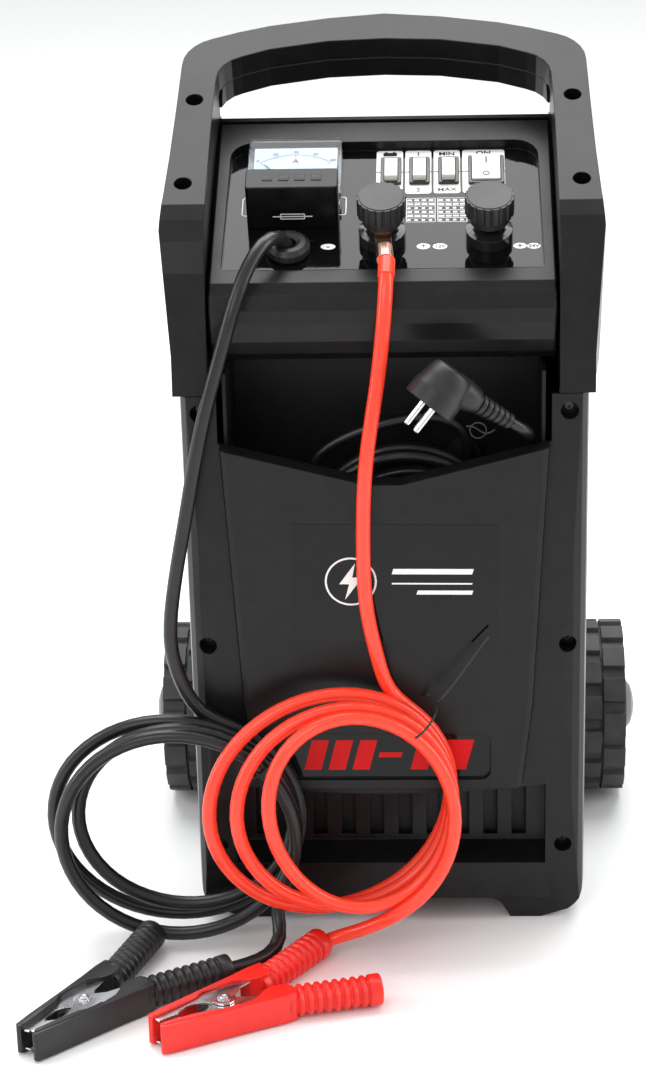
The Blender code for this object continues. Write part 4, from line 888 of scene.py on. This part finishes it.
def flat_ring(name, outer, inner, points, low, high, look, matrix):
    """A flat ring from its two radii, with this many points round."""
    last = 360 - 360 / points
    return loop_band(name, arc((0, 0), outer, 0, last, points - 1), arc((0, 0), inner, 0, last, points - 1),
                     low, high, look, matrix)


FUSE_X = -0.0613


def fuse_bracket():
    """The white line that runs out on both sides of the fuse cover."""
    bands = []
    for side in (-1, 1):
        x = FUSE_X + side * 0.0360
        left, right = sorted((x, x - side * 0.02))
        outer = rounded_rectangle(left, 0.0602, right, 0.0805, 0.0022)
        inner = rounded_rectangle(left + 0.0006, 0.0608, right - 0.0006, 0.0799, 0.0017)
        bands.append(loop_band("band", outer, inner))
    merged("fuse_bracket", bands)


SIGN_LAYER = (0.00003, 0.00013)


def fuse_sign():
    """The fuse symbol on the front of the fuse cover, and the grip ribs on its lid."""
    face = PANEL @ Matrix.Translation((-0.0612, 0.0460, 0.0105)) @ UPRIGHT
    outer = rounded_rectangle(-0.0085, -0.0024, 0.0085, 0.0024, 0.0008, 3)
    inner = rounded_rectangle(-0.0078, -0.0017, 0.0078, 0.0017, 0.0003, 3)
    band = loop_band("band", outer, inner, *SIGN_LAYER, WHITE, face)
    rod = prism("rod", corners(-0.0135, -0.0004, 0.0135, 0.0004), *SIGN_LAYER, WHITE, face)
    made = merged("fuse_sign", [band, rod])
    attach(made, "fuse_lid")
    lid = PANEL @ Matrix.Translation((-0.0612, 0.0568, 0.0350))
    ribs = [prism("rib", corners(x - 0.0035, -0.0032, x + 0.0035, 0.0032), -0.0004, 0.00035, FUSE, lid,
                  bevel=0.00015) for x in (-0.0165, -0.0055, 0.0055, 0.0165)]
    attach(merged("fuse_lid_ribs", ribs), "fuse_lid")


# The meter: where its needle turns, and the bearings in degrees between which the scale runs.
PIVOT = (-0.0615, 0.0830)
SCALE_FROM = 49
SCALE_TO = 131
SCALE_SWEEP = SCALE_TO - SCALE_FROM
SCALE_MARKS = 21
DIAL_LAYER = (0.00685, 0.00695)
FIGURES_UP = DIAL_LAYER[1] + 0.0001


def dial_print():
    """The scale, its figures and unit, and the grey skirt below the window."""
    face = on_panel(*PIVOT)
    outer = arc((0, 0), 0.03760, SCALE_FROM, SCALE_TO, 24)
    inner = arc((0, 0), 0.03715, SCALE_FROM, SCALE_TO, 24)
    marks = [prism("scale", [*outer, *inner[::-1]], *DIAL_LAYER, INK, face)]
    for k in range(SCALE_MARKS):
        turn = math.radians(SCALE_FROM + SCALE_SWEEP * k / (SCALE_MARKS - 1))
        long, w = (0.0016, 0.00018) if k % 5 else (0.0028, 0.00030)
        c, s = math.cos(turn), math.sin(turn)
        a, b = 0.0371 - long, 0.0374
        tick = [(a * c + w * s, a * s - w * c), (b * c + w * s, b * s - w * c),
                (b * c - w * s, b * s + w * c), (a * c - w * s, a * s + w * c)]
        marks.append(prism("tick", tick, *DIAL_LAYER, INK, face))
    merged("dial_scale", marks)
    for k, text in enumerate(("0", "20", "40", "60", "80")):
        turn = math.radians(SCALE_TO - SCALE_SWEEP * k / 4)
        at = face @ Matrix.Translation((0.0402 * math.cos(turn), 0.0402 * math.sin(turn), FIGURES_UP))
        lettering("dial_figure_" + text, text, 0.0027, at, INK)
    lettering("dial_unit", "A", 0.0046, on_panel(PIVOT[0], 0.1125, FIGURES_UP), INK)
    skirt = rounded_rectangle(-0.0905, 0.0700, -0.0325, 0.0868, 0.0008, 2)
    prism("dial_skirt", skirt, 0.0024, 0.0066, GREY_INK, PANEL)


ROCKER_LAYER = (-0.0002, 0.00012)


def rocker_signs():
    """The line and the ring on the mains rocker."""
    tilt = Matrix.Rotation(math.radians(6), 4, "X")
    face = on_panel(SWITCHES["power"][0], SWITCH_ALONG, 0.0022) @ tilt
    upper = face @ Matrix.Translation((0, 0.0068, 0.00258)) @ Matrix.Rotation(math.radians(5.4), 4, "X")
    lower = face @ Matrix.Translation((0, -0.0068, 0.00258)) @ Matrix.Rotation(math.radians(-5.4), 4, "X")
    line = prism("rocker_line", corners(-0.00045, -0.0028, 0.00045, 0.0028), *ROCKER_LAYER, INK, upper)
    ring = flat_ring("rocker_ring", 0.0024, 0.0017, 24, *ROCKER_LAYER, INK, lower)
    for piece in (line, ring):
        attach(piece, "rocker_power_body")


panel_label()
panel_print()
data_table()
fuse_bracket()
fuse_sign()
dial_print()
rocker_signs()


# ---------------------------------------------------------------- marks on the front and pocket, screws

FRONT = Matrix.Translation((0, FRONT_TO_CENTRE, 0)) @ UPRIGHT
# Distances out from the front plane.
MARK_LAYER = (0.00777, 0.00787)
RED_LAYER = (0.00472, 0.00480)


def front_mark():
    """The tilted label between the leads, with a ringed bolt and three bars. Outlines are (x, height)."""
    turn = FRONT @ Matrix.Rotation(math.radians(-0.6), 4, "Z")
    label = rounded_rectangle(-0.0670, 0.2270, 0.0740, 0.3140, 0.0012, 3)
    prism("front_label", label, 0.00755, 0.00775, LABEL, turn)
    bolt = [(0.0010, 0.0030), (0.0080, 0.0030), (-0.0040, -0.0135), (-0.0012, -0.0020), (-0.0080, -0.0020),
            (0.0030, 0.0135)]
    at = turn @ Matrix.Translation((-0.0270, 0.2720, 0))
    marks = [prism("bolt", bolt, *MARK_LAYER, WHITE, at),
             flat_ring("ring", 0.0178, 0.0165, 60, *MARK_LAYER, WHITE, at)]
    for x0, z, tall in ((0.0010, 0.2775, 0.0040), (0.0010, 0.2700, 0.0011), (0.0180, 0.2625, 0.0030)):
        outline = corners(x0, z, 0.0560, z + tall, tall * 0.3)
        marks.append(prism("bar", outline, *MARK_LAYER, WHITE, turn))
    merged("front_mark", marks)


def red_mark():
    """Leaning red bars on a dark field low on the front."""
    prism("red_field", rounded_rectangle(-0.0700, 0.1212, 0.0700, 0.1548, 0.0060, 5), 0.00452, 0.00470, LABEL,
          FRONT)
    outlines = [corners(x, 0.1268, x + w, 0.1500, 0.0060) for x, w in (
        (-0.0600, 0.012), (-0.0430, 0.012), (-0.0260, 0.012), (0.0150, 0.012), (0.0320, 0.022))]
    outlines.append(corners(-0.0075, 0.1365, 0.0085, 0.1403, 0.0010))
    merged("red_mark", [prism("bar", outline, *RED_LAYER, RED_INK, FRONT) for outline in outlines])


def mains_symbol():
    """The wave and ring printed on the wall of the pocket."""
    wall = Matrix.Translation(world(0.0645, 0.0894, 0.3465)) @ UPRIGHT
    wave = [(-0.0120 + 0.0240 * i / 24, 0.0028 * math.sin(math.tau * i / 24)) for i in range(25)]
    ribbon = [*wave, *[(x, y + 0.0011) for x, y in reversed(wave)]]
    symbol = [prism("wave", ribbon, 0.0, 0.0001, GREY_INK, wall),
              flat_ring("ring", 0.0062, 0.0054, 36, 0.0, 0.0001, GREY_INK, wall)]
    merged("mains_symbol", symbol)


def screws():
    head = [(0.0, -0.0006), (0.0010, -0.0006), (0.0012, 0.0010), (0.0030, 0.0009), (0.0037, 0.0002),
            (0.0038, -0.0014), (0.0, -0.0014)]
    steel = look_of("screw_black", (0.05, 0.05, 0.052), 0.35, metallic=0.7, grain=0.05, mottling=0.3, edge=0)
    made = []
    for side in (-1, 1):
        for x, z in ((0.125, 0.390), (0.125, 0.220), (0.123, 0.062)):
            at = Matrix.Translation(world(side * x, 0.0165, z)) @ UPRIGHT
            made.append(lathe("screw", head, 16, steel, at))
    merged("screws_front", made)


front_mark()
red_mark()
mains_symbol()
screws()


# ---------------------------------------------------------------- plug, ties, painted-shade screen behind the slots, lug

PLUG_TO_BACK = 0.030
PIN_APART = 0.0190
RELIEF_RIBS = 7
RELIEF_PITCH = 0.0047
TIE = 0.0016
LUG_SLEEVE = 0.0114


def plug():
    """The angled plug with its segmented relief, and its two bright pins."""
    across = PLUG_AXIS.cross(PLUG_LEAVE).normalized()
    back = PLUG_FACE - PLUG_AXIS * PLUG_TO_BACK

    def frame_at(origin, along):
        side = across if abs(along.dot(across)) < 0.9 else PLUG_AXIS
        y = along.cross(side).normalized()
        x = y.cross(along).normalized()
        return Matrix.Translation(origin) @ Matrix((
            (x.x, y.x, along.x, 0), (x.y, y.y, along.y, 0), (x.z, y.z, along.z, 0), (0, 0, 0, 1)))

    outline = [(0.0, 0.0), (0.0090, 0.0002), (0.0130, 0.0014), (0.0150, 0.0040), (0.0162, 0.0100),
               (0.0174, 0.0160), (0.0184, 0.0185), (0.0186, 0.0200), (0.0186, 0.0296), (0.0180, 0.0300),
               (0.0150, 0.0300), (0.0148, 0.0286), (0.0, 0.0284)]
    body = lathe("body", outline, 40, RUBBER, frame_at(back, PLUG_AXIS))
    outline = [(0.0, 0.0), (0.0105, 0.0004), (0.0112, 0.0060), (0.0106, 0.0160), (0.0092, 0.0240),
               (0.0078, 0.0262), (0.0, 0.0266)]
    neck = lathe("neck", outline, 28, RUBBER, frame_at(back + PLUG_AXIS * 0.0115, PLUG_LEAVE))
    relief = []
    for i in range(RELIEF_RIBS):
        low = i * RELIEF_PITCH
        r = 0.0076 - 0.00036 * i
        relief += [(r * 0.80, low), (r * 0.98, low + 0.0004), (r, low + 0.0010), (r, low + 0.0027),
                   (r * 0.98, low + 0.0033), (r * 0.80, low + 0.0037)]
    outline = [(0.0, 0.0), *relief, (0.0, 0.0330)]
    sleeve = lathe("relief", outline, 20, RUBBER, frame_at(PLUG_NECK, PLUG_LEAVE))
    made = merged("plug_body", [body, neck, sleeve])
    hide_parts("mains_plug")
    outline = [(0.0, -0.004), (0.0024, -0.004), (0.0024, 0.0165), (0.0022, 0.0182), (0.0012, 0.0190),
               (0.0, 0.0191)]
    pins = [lathe("pin", outline, 16, STEEL, frame_at(PLUG_FACE + across * (PIN_APART / 2 * side), PLUG_AXIS))
            for side in (-1, 1)]
    return [made, merged("plug_pins", pins)]


def tie(name, at, plane, bearing, half, drift, steps, tail, look):
    """A twist tie: a loop of this half width and half depth round a bundle, and its loose end."""
    radial = plane @ Vector((math.cos(math.radians(bearing)), 0, math.sin(math.radians(bearing))))
    deep = plane @ Vector((0, 1, 0))
    loop = []
    for i in range(1, steps + 1):
        t = math.tau * i / 20
        loop.append(at + radial * (half[0] * math.cos(t)) + deep * (half[1] * math.sin(t)) + drift * t)
    ends = [loop[-1] + Vector(step) for step in tail]
    wire(name, evenly(catmull([*loop, *ends], 5), 0.003), TIE, look, resolution=3)


def ties():
    look = look_of("tie_black", (0.012, 0.012, 0.012), 0.45, grain=0.05, mottling=0.3, edge=0)
    at = RED_CENTRE + RED_PLANE @ Vector((0.0560, -0.0020, 0.0620))
    tie("tie_red", at, RED_PLANE, 48, (0.0175, 0.0235), RED_PLANE @ Vector((0.0006, 0, -0.0006)), 20,
        [(0.004, -0.002, 0.004), (0.012, -0.001, 0.014), (0.022, 0.001, 0.028), (0.031, 0.004, 0.040),
         (0.036, 0.006, 0.046)], look)
    tie("tie_black", BLACK_CENTRE + Vector((0.0640, 0, 0.0520)), BLACK_PLANE, 40, (0.0165, 0.0225),
        Vector((0, 0, 0)), 19, [(0.004, -0.004, 0.003), (0.012, -0.008, 0.010), (0.022, -0.008, 0.013)], look)


def vent_screen():
    """A dark screen behind the front slots: painted shade, standing in for the darkness of the shaded inside
    of the housing.
    """
    back = Matrix.Translation(world(0, 0.0310, 0.079)) @ UPRIGHT
    outline = rounded_rectangle(-0.1120, -0.0300, 0.1120, 0.0300, 0.002, 2)
    prism("vent_screen", outline, -0.0010, 0.0, BODY_DARK, back, bevel=0.0002)


def lug_sleeve():
    """The sleeve where the red lead runs into its lug."""
    sleeve = [red_path[0] + (red_path[1] - red_path[0]) * k for k in (-0.55, -0.2, 0.2, 0.6, 1.0)]
    wire("lug_sleeve", sleeve, LUG_SLEEVE, RED_CABLE, resolution=5)


plug_pieces = plug()
mains_lead()
ties()
vent_screen()
lug_sleeve()
